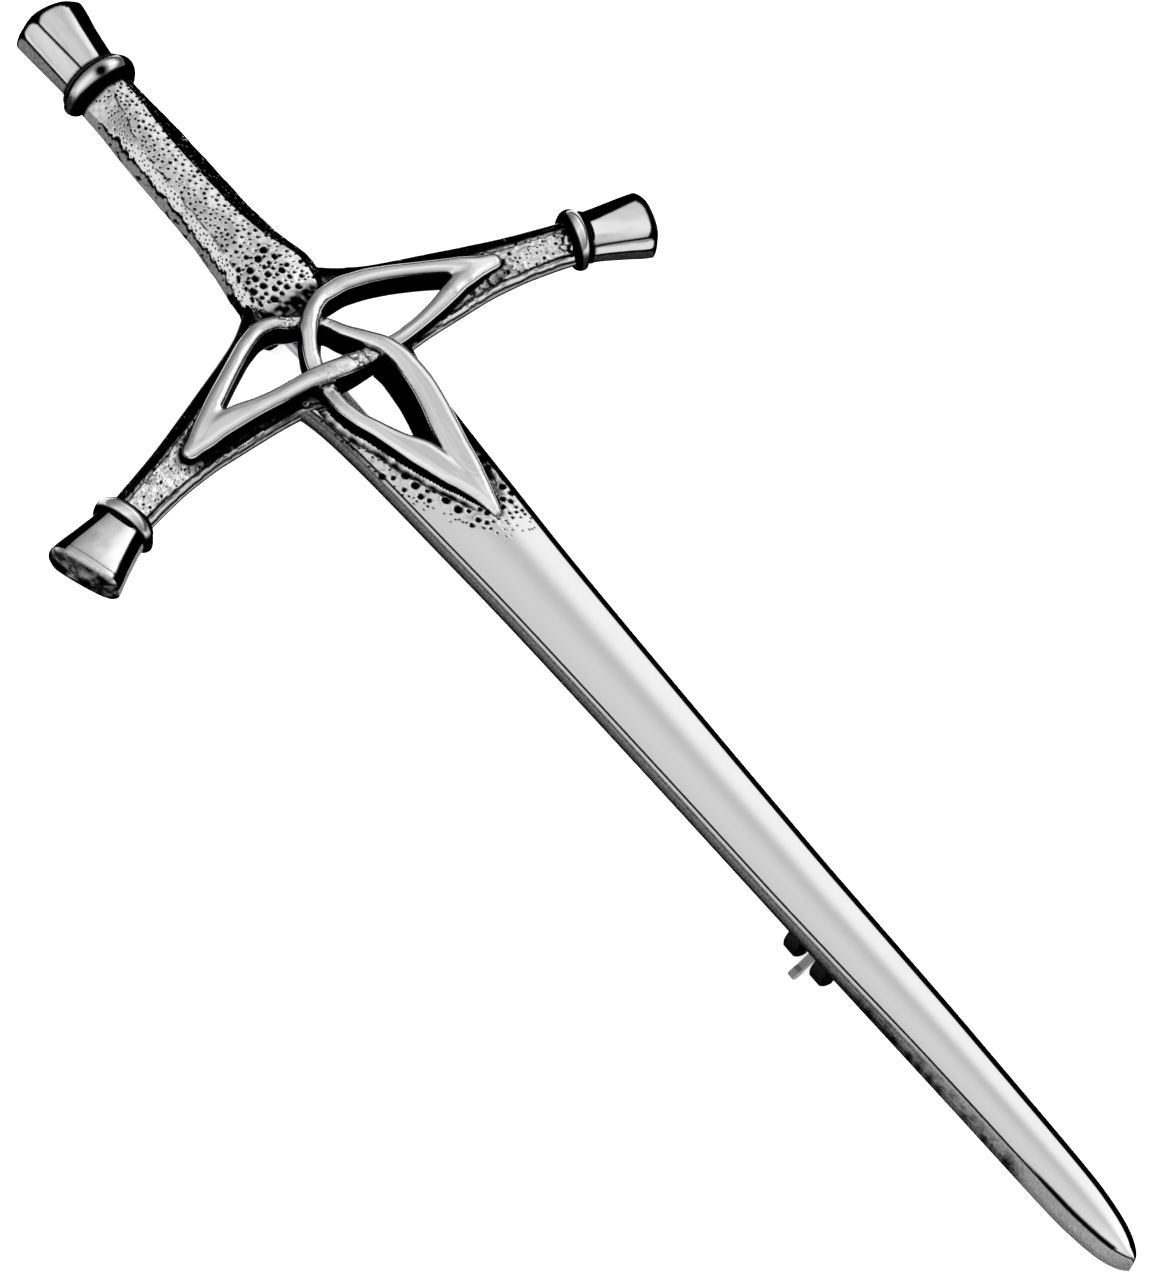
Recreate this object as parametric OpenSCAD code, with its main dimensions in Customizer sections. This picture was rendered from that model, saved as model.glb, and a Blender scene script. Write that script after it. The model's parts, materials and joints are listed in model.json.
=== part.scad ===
// Kilt pin in the form of a cross-hilted sword with a pierced three-lobed knot.
// Millimetres. The pin lies face up and level, as it rests on a table: on the
// barrel of its clasp and on the ears of its joint. X runs from the pommel to the
// blade's tip, Z is up from the table.
// The modules of the sword itself use its own frame: x from the pommel's end,
// y across the blade, z from the flat back up to the polished face.

/* [Pommel and grip] */
// Length of the pommel up to its collar
pommel_l = 5.2; // [4.4:0.1:6]
// Width of the pommel at its end
pommel_end_w = 4.9; // [4.4:0.1:5.4]
// Width of the pommel at its collar
pommel_neck_w = 3.9; // [3.6:0.1:4.2]
// Height of the pommel and of the arm ends over the back
finial_h = 2.4; // [2.1:0.1:2.7]
// Diameter of the bead of the pommel's collar
pommel_bead_d = 1.5; // [1.2:0.1:1.7]
// Width across the pommel's collar
pommel_collar_w = 4.9; // [4.6:0.1:5.4]
// Length of the grip from the collar to the cross
grip_l = 17.55; // [15:0.05:20]
// Width of the grip where it meets the cross
grip_w = 5.7; // [5.2:0.1:6.2]
// Height of the grip over the back
grip_h = 2.4; // [2.1:0.1:2.7]

/* [Cross and knot] */
// Length of the cross from the grip to the blade
cross_l = 7.5; // [7.2:0.1:8]
// Distance of each arm's collar from the middle of the sword
arm_reach = 16.9; // [16:0.1:18]
// Sweep of the arm ends toward the blade in degrees
arm_sweep = 16; // [12:1:20]
// Height of the sunk ground of the arms
ground_h = 1.3; // [1.1:0.05:1.5]
// Height of the raised rims of the arms
rim_h = 1.9; // [1.7:0.05:2.1]
// Width of the raised rims of the arms
rim_w = 0.55; // [0.4:0.05:0.7]
// Diameter of the bead of the arms' collars
arm_bead_d = 1.2; // [1:0.1:1.4]
// Width across the arms' collars
arm_collar_w = 3.95; // [3.6:0.05:4.3]
// Length of the arm ends beyond their collars
finial_l = 4.6; // [4:0.1:5.2]
// Width of the arm ends at their outer end
finial_end_w = 4.4; // [4:0.1:4.8]
// Width of the arm ends at the collar
finial_neck_w = 3; // [2.8:0.1:3.2]
// Width of the knot's strands
strand_w = 0.9; // [0.75:0.05:0.9]
// Height of the knot's strands where they pass over
strand_over_h = 2.45; // [2.3:0.05:2.6]
// Height of the knot's strands where they pass under
strand_under_h = 1.9; // [1.8:0.05:2]

/* [Blade] */
// Length of the blade from the cross to its tip
blade_l = 69; // [58:1:80]
// Width of the blade where it leaves the cross
blade_w = 8.2; // [7.6:0.1:8.8]
// Height of the blade along its middle, near its tip
blade_h = 1.65; // [1.5:0.05:1.9]

/* [Pin, joint and clasp] */
// Distance of the pin's axis from the sword's back
pin_drop = 2.05; // [2:0.05:2.3]
// Diameter of the pin's wire
wire_d = 0.9; // [0.8:0.05:0.9]
// Distance of the rivet from the cross, toward the pommel
rivet_back = 0.2; // [-0.5:0.1:0.5]
// Diameter of the rivet
rivet_d = 0.8; // [0.7:0.05:0.9]
// Outer diameter of the pin's eye
eye_d = 2; // [1.9:0.05:2.1]
// Width of the pin's eye
eye_w = 1.2; // [1.1:0.05:1.5]
// Thickness of each ear of the joint
ear_t = 0.6; // [0.5:0.05:0.8]
// Outer diameter of the clasp's barrel
barrel_d = 3.4; // [3.4:0.05:3.7]
// Length of the clasp's barrel
barrel_l = 3.3; // [3:0.1:3.6]
// Distance of the clasp from the blade's tip
clasp_from_tip = 25.75; // [22:0.25:30]
// Outer diameter of the turning sleeve in the barrel
sleeve_d = 1.8; // [1.7:0.05:1.85]
// Inner diameter of the turning sleeve
sleeve_bore_d = 1.2; // [1.1:0.05:1.25]
// Length of the clasp's lever from the barrel's axis
lever_l = 2.6; // [2.4:0.05:2.9]
// Thickness of the clasp's lever
lever_t = 0.45; // [0.4:0.05:0.6]
// Width of the slot in which the lever turns
slot_w = 1.3; // [1.1:0.05:1.5]

/* [Hidden] */
// running clearance of the rivet and of the turning sleeve
play = 0.04;
// clearance of a part that passes another sideways
side_gap = 0.05;
// depth by which soldered pieces sink into the back
solder = 0.35;
// how far the underside of the knot lies over the back
knot_z = 0.06;
// angle of the lever, from across the blade, when the clasp is open
lever_at = 213;
// angle of the mouth of the barrel and of the sleeve
mouth_at = 270;
// upper end of the lever's slot
slot_from = 130;

// stations along the sword
collar_x = pommel_l + pommel_bead_d / 2;
cross_x = collar_x + grip_l;
blade_x = cross_x + cross_l;
tip_x = blade_x + blade_l;
clasp_x = tip_x - clasp_from_tip;
rivet_x = cross_x - rivet_back;

// the joint
rivet_r = rivet_d / 2;
ear_in = eye_w / 2 + side_gap;
ear_out = ear_in + ear_t;
rivet_head_d = 1.4;
rivet_head_t = 0.25;

// the pin: a root that tapers from the eye, the wire, and a long ground point
root_l = 4.2;
root_d = wire_d + 0.4;
point_l = 7.5;
pin_past_clasp = 3.2;
point_r = 0.06;
pin_end_x = clasp_x + pin_past_clasp;

// the clasp
mouth_w = wire_d + 0.1;
barrel_r = barrel_d / 2;
barrel_bore_r = sleeve_d / 2 + play;
foot_w = 2.2;
lever_shank_w = 0.5;
lever_paddle_w = 0.7;
lever_root = sleeve_d / 2 - 0.15;

// length of an arm's end from the middle of its collar
arm_end = arm_bead_d / 2 + finial_l;

// the ears reach as deep as the barrel, so the part rests level on both
ear_r = barrel_r;
lift = pin_drop + barrel_r;

// section of the pommel, the arm ends and the grip, flat at the back:
// [across, up], as shares of half the width and of the height
FACET = [[-0.86, 0], [-1, 0.14], [-1, 0.42], [-0.54, 0.9], [0, 1],
         [0.54, 0.9], [1, 0.42], [1, 0.14], [0.86, 0]];
// height share round which the domed ends close
DOME_Z = 0.45;

// pommel and arm ends: [along, width from neck 0 to end 1, size of the section]
FINIAL = [[-0.11, 0, 1], [0.19, 0.12, 1], [0.52, 0.55, 1], [0.85, 1, 1],
          [0.93, 1.02, 0.93], [0.98, 1, 0.7], [1, 1, 0.35]];

// grip: [along, width, height], along from the collar, the last row inside the cross
GRIP = [[0, 0.66, 0.92], [0.16, 0.62, 0.92], [0.32, 0.68, 0.94], [0.5, 0.7, 0.96],
        [0.66, 0.73, 0.98], [0.78, 0.79, 1], [0.89, 0.88, 0.98], [1, 1.02, 0.88],
        [1.12, 1.12, 0.66]];

// blade: [along, width, height of the edge, height of the middle]
BLADE = [[-0.02, 1.03, 0.6, 0.7], [0.03, 0.96, 0.6, 0.76], [0.06, 0.87, 0.6, 0.78],
         [0.11, 0.81, 0.58, 0.8], [0.16, 0.76, 0.58, 0.82], [0.24, 0.69, 0.58, 0.82],
         [0.38, 0.64, 0.58, 0.82], [0.48, 0.58, 0.58, 0.82], [0.6, 0.55, 0.6, 0.83],
         [0.7, 0.5, 0.74, 0.93], [0.82, 0.44, 0.86, 1], [0.9, 0.41, 0.88, 1],
         [0.94, 0.385, 0.88, 0.98], [0.97, 0.32, 0.85, 0.94], [0.985, 0.25, 0.8, 0.88],
         [0.995, 0.15, 0.7, 0.78], [1, 0.05, 0.6, 0.7]];
// section of the blade: [across, share of the way from the edge's height to the middle's]
BLADE_FACE = [[-1, 0], [-0.84, 0.5], [-0.45, 0.88], [0, 1], [0.45, 0.88], [0.84, 0.5], [1, 0]];

// outline of an arm: [out, side toward the grip], [out, side toward the blade]
ARM_GRIP_SIDE = [[0.12, -0.1], [0.17, 0], [0.26, 0.133], [0.367, 0.24], [0.49, 0.347],
                 [0.61, 0.453], [0.775, 0.6], [1, 0.775]];
ARM_BLADE_SIDE = [[1, 1.15], [0.85, 1.067], [0.72, 1.013], [0.574, 0.987],
                  [0.38, 0.987], [0.25, 1], [0.12, 1.05]];

// strands of the knot: [along the cross, out, width]
// from an arm's lobe past the middle to the blade's lobe
STRAND_LONG = [[0.8, 0.728, 0.5], [0.76, 0.7, 1.5], [0.66, 0.6, 1.35], [0.52, 0.49, 1.1],
               [0.37, 0.355, 1], [0.24, 0.23, 1], [0.17, 0.14, 1], [0.21, 0.075, 1],
               [0.36, 0.001, 1], [0.55, -0.052, 1], [0.77, -0.112, 1], [0.94, -0.15, 1],
               [1.08, -0.157, 1], [1.37, -0.13, 1], [1.7, -0.1, 1.05], [2.03, -0.07, 1.3],
               [2.4, -0.035, 1.5], [2.62, 0.004, 0.5]];
// from one arm's lobe across to the other's
STRAND_WIDE = [[0.83, -0.742, 0.5], [0.74, -0.66, 1.4], [0.71, -0.55, 1.25], [0.74, -0.46, 1.05],
               [0.78, -0.34, 1], [0.81, -0.22, 1], [0.79, -0.12, 1], [0.8, 0.003, 1],
               [0.82, 0.12, 1], [0.83, 0.22, 1], [0.8, 0.34, 1], [0.74, 0.46, 1.05],
               [0.71, 0.55, 1.25], [0.74, 0.66, 1.4], [0.83, 0.742, 0.5]];
// rows of the tables between which a strand passes over another one
OVER_LONG_NEAR = [6, 9];
OVER_LONG_FAR = [9, 12];
OVER_WIDE = [5, 7];

// openings of the knot: [along the cross, out]
OPEN_ARM = [[0.27, 0.1], [0.255, 0.145], [0.33, 0.23], [0.44, 0.35], [0.56, 0.47],
            [0.64, 0.5], [0.68, 0.46], [0.72, 0.34], [0.75, 0.22], [0.73, 0.15], [0.55, 0.085]];
OPEN_BLADE = [[0.92, -0.1], [0.9, 0], [0.92, 0.1], [1.1, 0.12], [1.4, 0.09], [1.66, 0.035],
              [1.72, 0], [1.66, -0.035], [1.4, -0.09], [1.1, -0.12]];
OPEN_MIDDLE = [[0.46, 0], [0.68, 0.07], [0.7, 0], [0.68, -0.07]];

function lerp(a, b, t) = a + (b - a) * t;

// a closed body through sections that all have the same number of points
module loft(sections) {
    n = len(sections[0]);
    m = len(sections);
    points = [for (s = sections) each s];
    sides = [for (i = [0 : m - 2]) for (j = [0 : n - 1])
        let (k = (j + 1) % n)
        each [[i * n + j, i * n + k, (i + 1) * n + k], [i * n + j, (i + 1) * n + k, (i + 1) * n + j]]];
    first = [for (j = [n - 1 : -1 : 0]) j];
    last = [for (j = [0 : n - 1]) (m - 1) * n + j];
    polyhedron(points = points, faces = concat(sides, [first], [last]));
}

// flared, faceted end with a domed face; it grows along +x from its collar
module finial(l, neck_w, end_w) {
    loft([for (s = FINIAL)
        let (half = lerp(neck_w, end_w, s[1]) / 2)
        [for (q = FACET) [s[0] * l, q[0] * half * s[2], (DOME_Z + (q[1] - DOME_Z) * s[2]) * finial_h]]]);
}

// half-sunk ring round the sword or an arm, flat at the back
module collar(w, bead_d) {
    ring_r = (w - bead_d) / 2;
    ring_z = finial_h * 0.22;
    intersection() {
        translate([0, 0, ring_z])
            rotate([0, 90, 0])
            rotate_extrude()
            translate([ring_r, 0])
            circle(d = bead_d);
        translate([-bead_d, -w, 0])
            cube([2 * bead_d, 2 * w, 3 * w]);
    }
}

module pommel() {
    translate([collar_x, 0, 0])
        rotate([0, 0, 180])
        finial(collar_x, pommel_neck_w, pommel_end_w);
    translate([collar_x, 0, 0])
        collar(pommel_collar_w, pommel_bead_d);
}

module grip() {
    loft([for (s = GRIP)
        [for (q = FACET) [collar_x + s[0] * grip_l, q[0] * s[1] * grip_w / 2, q[1] * s[2] * grip_h]]]);
}

module blade() {
    loft([for (s = BLADE)
        let (x = blade_x + s[0] * blade_l, half = s[1] * blade_w / 2, back = 0.88 * half)
        concat([[x, -back, 0]],
            [for (q = BLADE_FACE) [x, q[0] * half, lerp(s[2], s[3], q[1]) * blade_h]],
            [[x, back, 0]])]);
}

function arm_point(q, dx) = [cross_x + q[1] * cross_l + dx, q[0] * arm_reach];

// outline of both arms, drawn in by dx
module arms_outline(dx) {
    near = [for (q = ARM_GRIP_SIDE) arm_point(q, dx)];
    far = [for (q = ARM_BLADE_SIDE) arm_point(q, -dx)];
    half = concat(near, far);
    polygon(concat(half, [for (i = [len(half) - 1 : -1 : 0]) [half[i][0], -half[i][1]]]));
}

module arms() {
    linear_extrude(ground_h)
        arms_outline(0);
    linear_extrude(rim_h)
        difference() {
            arms_outline(0);
            arms_outline(rim_w);
        }
}

// one arm's collar and end, side is 1 or -1
module arm_end(side) {
    axis_x = cross_x + 0.95 * cross_l;
    translate([axis_x, side * arm_reach, 0])
        rotate([0, 0, side * (90 - arm_sweep)]) {
            collar(arm_collar_w, arm_bead_d);
            finial(arm_end, finial_neck_w, finial_end_w);
        }
}

// one side of a strand's outline at row i of its table; to is 1 or -1
function strand_edge(rows, i, side, to, share) =
    let (a = rows[max(i - 1, 0)], b = rows[min(i + 1, len(rows) - 1)], size = [cross_l, side * arm_reach],
         along = [(b[0] - a[0]) * size[0], (b[1] - a[1]) * size[1]],
         d = along / norm(along),
         half = to * share * rows[i][2] * strand_w / 2)
    [cross_x + rows[i][0] * size[0] + d[1] * half, rows[i][1] * size[1] - d[0] * half];

// outline of the part of a strand between two rows of its table
module strand(rows, side, share, span) {
    polygon(concat([for (i = [span[0] : span[1]]) strand_edge(rows, i, side, 1, share)],
        [for (i = [span[1] : -1 : span[0]]) strand_edge(rows, i, side, -1, share)]));
}

module opening(rows, side) {
    translate([0, 0, -blade_h])
        linear_extrude(3 * blade_h)
        polygon([for (q = rows) [cross_x + q[0] * cross_l, side * q[1] * arm_reach]]);
}

// the whole knot's outline, its strands drawn to a share of their width
module knot_outline(share) {
    last_long = len(STRAND_LONG) - 1;
    strand(STRAND_LONG, 1, share, [0, last_long]);
    strand(STRAND_LONG, -1, share, [0, last_long]);
    strand(STRAND_WIDE, 1, share, [0, len(STRAND_WIDE) - 1]);
}

module over_strands(share) {
    strand(STRAND_LONG, 1, share, OVER_LONG_NEAR);
    strand(STRAND_LONG, -1, share, OVER_LONG_FAR);
    strand(STRAND_WIDE, 1, share, OVER_WIDE);
}

// the strands stand up in steps to their narrower tops
module knot() {
    translate([0, 0, knot_z])
        linear_extrude(strand_under_h - knot_z)
        knot_outline(1);
    translate([0, 0, knot_z])
        linear_extrude(lerp(strand_under_h, strand_over_h, 0.45) - knot_z)
        knot_outline(0.66);
    translate([0, 0, knot_z])
        linear_extrude(strand_over_h - knot_z)
        over_strands(0.9);
}

// two ears that hold the pin's rivet
module ears() {
    difference() {
        for (side = [-1, 1])
            translate([rivet_x, side * (ear_in + ear_t / 2), -pin_drop]) {
                rotate([90, 0, 0])
                    cylinder(r = ear_r, h = ear_t, center = true);
                translate([-ear_r, -ear_t / 2, 0])
                    cube([2 * ear_r, ear_t, pin_drop + solder]);
            }
        translate([rivet_x, 0, -pin_drop])
            rotate([90, 0, 0])
            cylinder(r = rivet_r + play, h = 3 * ear_out, center = true);
    }
}

// the clasp's barrel on its foot, with its mouth for the pin and the slot for the lever
module barrel() {
    translate([clasp_x, 0, -pin_drop])
        rotate([90, 0, 90])
        difference() {
            union() {
                cylinder(r = barrel_r, h = barrel_l, center = true);
                translate([-foot_w / 2, 0, -barrel_l / 2])
                    cube([foot_w, pin_drop + solder, barrel_l]);
            }
            cylinder(r = barrel_bore_r, h = 2 * barrel_l, center = true);
            translate([-mouth_w / 2, -2 * barrel_r, -barrel_l])
                cube([mouth_w, 2 * barrel_r, 2 * barrel_l]);
            linear_extrude(slot_w, center = true)
                polygon(concat([[0, 0]], [for (a = [slot_from, 180, 210, 240, mouth_at])
                    2 * barrel_r * [cos(a), sin(a)]]));
        }
}

module sword_body() {
    union() {
        difference() {
            union() {
                pommel();
                grip();
                arms();
                blade();
                arm_end(1);
                arm_end(-1);
            }
            opening(OPEN_ARM, 1);
            opening(OPEN_ARM, -1);
            opening(OPEN_BLADE, 1);
            opening(OPEN_MIDDLE, 1);
        }
        knot();
        ears();
        barrel();
    }
}

// puts a piece of the sword's own frame on the table
module rest() {
    translate([-tip_x / 2, 0, lift])
        children();
}

// the cast sword with the soldered ears and barrel
module sword() {
    color([0.62, 0.62, 0.6])
        rest()
        sword_body();
}

// the rivet that the pin turns on, with a head at each end
module hinge_rivet() {
    color([0.7, 0.7, 0.7])
        rest()
        translate([rivet_x, 0, -pin_drop])
        rotate([90, 0, 0])
        union() {
            cylinder(r = rivet_r, h = 2 * (ear_out + side_gap + rivet_head_t), center = true);
            for (side = [-1, 1])
                translate([0, 0, side * (ear_out + side_gap + rivet_head_t / 2)])
                    cylinder(d = rivet_head_d, h = rivet_head_t, center = true);
        }
}

// the steel pin with its eye, closed in the clasp
module pin_stem() {
    wire_x = rivet_x + root_l;
    point_x = pin_end_x - point_l;
    color([0.75, 0.75, 0.76])
        rest()
        translate([0, 0, -pin_drop])
        difference() {
            union() {
                translate([rivet_x, 0, 0])
                    rotate([90, 0, 0])
                    cylinder(d = eye_d, h = eye_w, center = true);
                translate([rivet_x, 0, 0])
                    rotate([0, 90, 0])
                    cylinder(d1 = root_d, d2 = wire_d, h = root_l);
                translate([wire_x, 0, 0])
                    rotate([0, 90, 0])
                    cylinder(d = wire_d, h = point_x - wire_x);
                translate([point_x, 0, 0])
                    rotate([0, 90, 0])
                    cylinder(r1 = wire_d / 2, r2 = point_r, h = point_l);
            }
            translate([rivet_x, 0, 0])
                rotate([90, 0, 0])
                cylinder(r = rivet_r + play, h = 2 * eye_w, center = true);
        }
}

// the turning sleeve of the clasp with its lever, open
module catch_rotor() {
    sleeve_l = barrel_l - 0.2;
    color([0.5, 0.5, 0.5])
        rest()
        translate([clasp_x, 0, -pin_drop])
        rotate([90, 0, 90])
        difference() {
            union() {
                cylinder(d = sleeve_d, h = sleeve_l, center = true);
                rotate([0, 0, lever_at])
                    linear_extrude(lever_t, center = true)
                    polygon([[lever_root, -lever_shank_w / 2], [lever_l * 0.68, -lever_shank_w / 2],
                        [lever_l * 0.8, -lever_paddle_w / 2], [lever_l * 0.95, -lever_paddle_w / 2],
                        [lever_l, -lever_paddle_w / 4], [lever_l, lever_paddle_w / 4],
                        [lever_l * 0.95, lever_paddle_w / 2], [lever_l * 0.8, lever_paddle_w / 2],
                        [lever_l * 0.68, lever_shank_w / 2], [lever_root, lever_shank_w / 2]]);
            }
            cylinder(d = sleeve_bore_d, h = 2 * barrel_l, center = true);
            translate([-mouth_w / 2, -sleeve_d, -barrel_l])
                cube([mouth_w, sleeve_d, 2 * barrel_l]);
        }
}

sword();
hinge_rivet();
pin_stem();
catch_rotor();
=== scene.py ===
"""Looks of a cast pewter kilt pin in the form of a sword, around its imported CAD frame."""

import json
import math
from functools import reduce

import bpy
import numpy as np
from mathutils import Matrix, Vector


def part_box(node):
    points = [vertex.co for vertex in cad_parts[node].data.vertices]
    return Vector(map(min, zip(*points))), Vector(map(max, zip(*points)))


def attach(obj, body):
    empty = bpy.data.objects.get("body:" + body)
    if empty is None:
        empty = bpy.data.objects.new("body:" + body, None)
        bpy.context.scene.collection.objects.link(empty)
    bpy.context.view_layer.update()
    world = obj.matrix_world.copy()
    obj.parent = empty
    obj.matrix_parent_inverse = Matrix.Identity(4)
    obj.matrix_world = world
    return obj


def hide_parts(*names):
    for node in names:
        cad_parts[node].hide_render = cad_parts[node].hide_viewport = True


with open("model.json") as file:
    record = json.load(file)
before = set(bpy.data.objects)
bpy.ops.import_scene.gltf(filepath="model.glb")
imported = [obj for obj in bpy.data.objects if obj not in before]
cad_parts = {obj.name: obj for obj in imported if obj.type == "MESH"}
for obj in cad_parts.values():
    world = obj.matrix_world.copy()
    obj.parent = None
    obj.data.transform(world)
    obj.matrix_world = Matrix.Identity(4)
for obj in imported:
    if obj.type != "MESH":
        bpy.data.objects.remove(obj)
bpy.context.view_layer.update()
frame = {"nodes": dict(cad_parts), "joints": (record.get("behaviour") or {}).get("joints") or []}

bl_info = {
    "name": "Sword kilt pin",
    "version": (1, 0, 0),
    "blender": (4, 5, 0),
    "location": "View3D > Sidebar > Kilt Pin",
    "description": "Builds the cast sword, its knot, the pin's joint and clasp, and a plain studio",
    "category": "Object",
}

MM = 0.001

# The sword's own frame, in millimetres: x from the pommel's end, y across, z up from the flat back.
# The joint's height gives how high the back lies over the table.
HINGE = next(j for j in frame["joints"] if j["name"] == "pin_hinge")
PIN_DROP = 2.05
LIFT = HINGE["pos_m"][2] / MM + PIN_DROP
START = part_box("sword")[0].x / MM
RIVET_X = HINGE["pos_m"][0] / MM - START
CLASP_X = next(j for j in frame["joints"] if j["name"] == "clasp_turn")["pos_m"][0] / MM - START


# Curves, noise and pits


def smooth(x, xs, ys):
    """Smooth curve through the points (xs, ys).

    A cubic on each stretch. Its end slopes are the weighted harmonic means of the chords on both
    sides, or level where the chords turn, so it never overshoots.
    """
    xs, ys = np.asarray(xs, float), np.asarray(ys, float)
    h = np.diff(xs)
    d = np.diff(ys) / h
    slope = np.zeros_like(ys)
    slope[0], slope[-1] = d[0], d[-1]
    a, b = 2 * h[1:] + h[:-1], h[1:] + 2 * h[:-1]
    with np.errstate(divide="ignore", invalid="ignore"):
        mean = (a + b) / (a / d[:-1] + b / d[1:])
    slope[1:-1] = np.where(d[:-1] * d[1:] > 0, mean, 0)
    x = np.clip(x, xs[0], xs[-1])
    i = np.clip(np.searchsorted(xs, x) - 1, 0, len(h) - 1)
    t = (x - xs[i]) / h[i]
    return (ys[i] * (1 + 2 * t) * (1 - t) ** 2 + h[i] * slope[i] * t * (1 - t) ** 2
            + ys[i + 1] * t * t * (3 - 2 * t) + h[i] * slope[i + 1] * t * t * (t - 1))


def ease(lo, hi, x):
    """0 below lo, 1 above hi, and a smooth step between them."""
    t = np.clip((x - lo) / (hi - lo), 0, 1)
    return t * t * (3 - 2 * t)


def bell(x, width):
    """Bell curve of height 1."""
    return np.exp(-(x / width) ** 2)


def darkest(*stains_and_shades):
    """The darkest of several marks of patina and painted shade at each point."""
    return reduce(np.maximum, stains_and_shades)


def noise(x, y, size, seed):
    """Smooth noise from -1 to 1: random numbers on a lattice of that size in mm, eased between."""
    n = 64
    lattice = np.random.default_rng(seed).uniform(-1, 1, (n, n))
    i, j = np.floor(x / size).astype(int), np.floor(y / size).astype(int)
    u, v = ease(0, 1, x / size - i), ease(0, 1, y / size - j)
    a, b = lattice[i % n, j % n], lattice[(i + 1) % n, j % n]
    c, d = lattice[i % n, (j + 1) % n], lattice[(i + 1) % n, (j + 1) % n]
    return (a * (1 - u) + b * u) * (1 - v) + (c * (1 - u) + d * u) * v


def scatter(count, lo, hi, radius, seed, gap=1.25):
    """Round spots [x, y, radius] thrown on a rectangle one by one, where none overlaps another.

    radius is a function of x, y and a random number from 0 to 1. It gives 0 where no spot belongs.
    """
    rng = np.random.default_rng(seed)
    spots = np.zeros((0, 3))
    throws = [rng.uniform(a, b, count) for a, b in ((lo[0], hi[0]), (lo[1], hi[1]), (0, 1))]
    for x, y, share in zip(*throws):
        r = radius(x, y, share)
        clear = np.hypot(spots[:, 0] - x, spots[:, 1] - y) >= gap * (spots[:, 2] + r)
        if r > 0 and clear.all():
            spots = np.vstack([spots, [x, y, r]])
    return spots


def pits(x, y, spots, depth=0.9, lip=0.09):
    """Height and patina of round cast pits.

    The height falls by a smooth step from the pit's edge to its floor, depth radii down, and a
    low bell stands round the edge. Oxide fills the pit up to its edge.
    """
    floor_edge, pit_edge, stain_edge, lip_at = 0.35, 1.02, 0.7, 1.18
    height, oxide_and_shade = np.zeros_like(x), np.zeros_like(x)
    for sx, sy, r in spots:
        near = (np.abs(x - sx) < 2 * r) & (np.abs(y - sy) < 2 * r)
        q = np.hypot(x[near] - sx, y[near] - sy) / r
        height[near] += r * (lip * bell(q - lip_at, 0.25) - depth * (1 - ease(floor_edge, pit_edge, q)))
        oxide_and_shade[near] = np.maximum(oxide_and_shade[near], 1 - ease(stain_edge, pit_edge, q))
    return height, oxide_and_shade


# From arrays to meshes


def make_piece(name, points, faces, oxide_and_shade, slot="pewter", sharp=42):
    """A mesh piece from points in the sword's frame, quads (a triangle repeats its last corner).

    The start along X and the lift bring the points to the row frame. Unused ones are dropped. The
    signed volume tells whether the faces have to be turned over. Edges over sharp degrees stay sharp.
    """
    points = (points.reshape(-1, 3) + [START, 0, LIFT]) * MM
    used, inverse = np.unique(faces.ravel(), return_inverse=True)
    faces = inverse.reshape(-1, 4)
    points, oxide_and_shade = points[used], np.clip(oxide_and_shade.ravel()[used], 0, 1)
    a, b, c, d = (points[faces[:, k]] for k in range(4))
    if np.einsum("ij,ij->", a, np.cross(b, c)) + np.einsum("ij,ij->", a, np.cross(c, d)) < 0:
        faces = np.where(faces[:, 2:3] == faces[:, 3:], faces[:, [0, 2, 1, 1]], faces[:, [0, 3, 2, 1]])
    corner = np.ones_like(faces, bool)
    corner[:, 3] = faces[:, 2] != faces[:, 3]
    sizes = corner.sum(1)
    mesh = bpy.data.meshes.new(name)
    mesh.vertices.add(len(points))
    mesh.vertices.foreach_set("co", points.ravel())
    mesh.loops.add(int(sizes.sum()))
    mesh.loops.foreach_set("vertex_index", faces[corner].astype(np.int32))
    mesh.polygons.add(len(faces))
    mesh.polygons.foreach_set("loop_start", (np.cumsum(sizes) - sizes).astype(np.int32))
    mesh.update(calc_edges=True)
    mesh.validate()
    mesh.shade_smooth()
    mesh.set_sharp_from_angle(angle=math.radians(sharp))
    # The attribute marks the real black patina of pits, grooves and hollows, and also painted shade, painted
    # shadows and painted dark reflections.
    layer = mesh.attributes.new("oxide_and_shade", "FLOAT", "POINT")
    layer.data.foreach_set("value", oxide_and_shade.astype(np.float32))
    mesh.materials.append(METALS[slot]())
    piece = bpy.data.objects.new(name, mesh)
    bpy.context.scene.collection.objects.link(piece)
    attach(piece, "brooch")
    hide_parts("sword")


def plate(name, layers, stains_and_shades, keep, slot="pewter", sharp=42):
    """A plate of several layers of one grid, from its front to its back, with patina and painted shade for
    each.

    The first layer gives the front, the last the back, and each border of the kept cells gets a
    wall through all layers.
    """
    layers = np.stack(layers)
    depth, nu, nv = layers.shape[:3]
    count = nu * nv
    index = np.arange(count).reshape(nu, nv)
    a, b, c, d = index[:-1, :-1], index[1:, :-1], index[1:, 1:], index[:-1, 1:]
    last = (depth - 1) * count
    faces = [np.stack([a, b, c, d], -1)[keep], np.stack([a, d, c, b], -1)[keep] + last]
    room = np.pad(keep, 1)
    sides = ((room[1:-1, :-2], a, b), (room[2:, 1:-1], b, c), (room[1:-1, 2:], c, d),
             (room[:-2, 1:-1], d, a))
    for neighbour, p, q in sides:
        edge = keep & ~neighbour
        wall = np.stack([q[edge], p[edge], p[edge] + count, q[edge] + count], -1)
        faces += [wall + top for top in range(0, last, count)]
    oxide_and_shade = np.stack([np.broadcast_to(stain, (nu, nv)) for stain in stains_and_shades])
    make_piece(name, layers, np.concatenate(faces), oxide_and_shade, slot, sharp)


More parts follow.
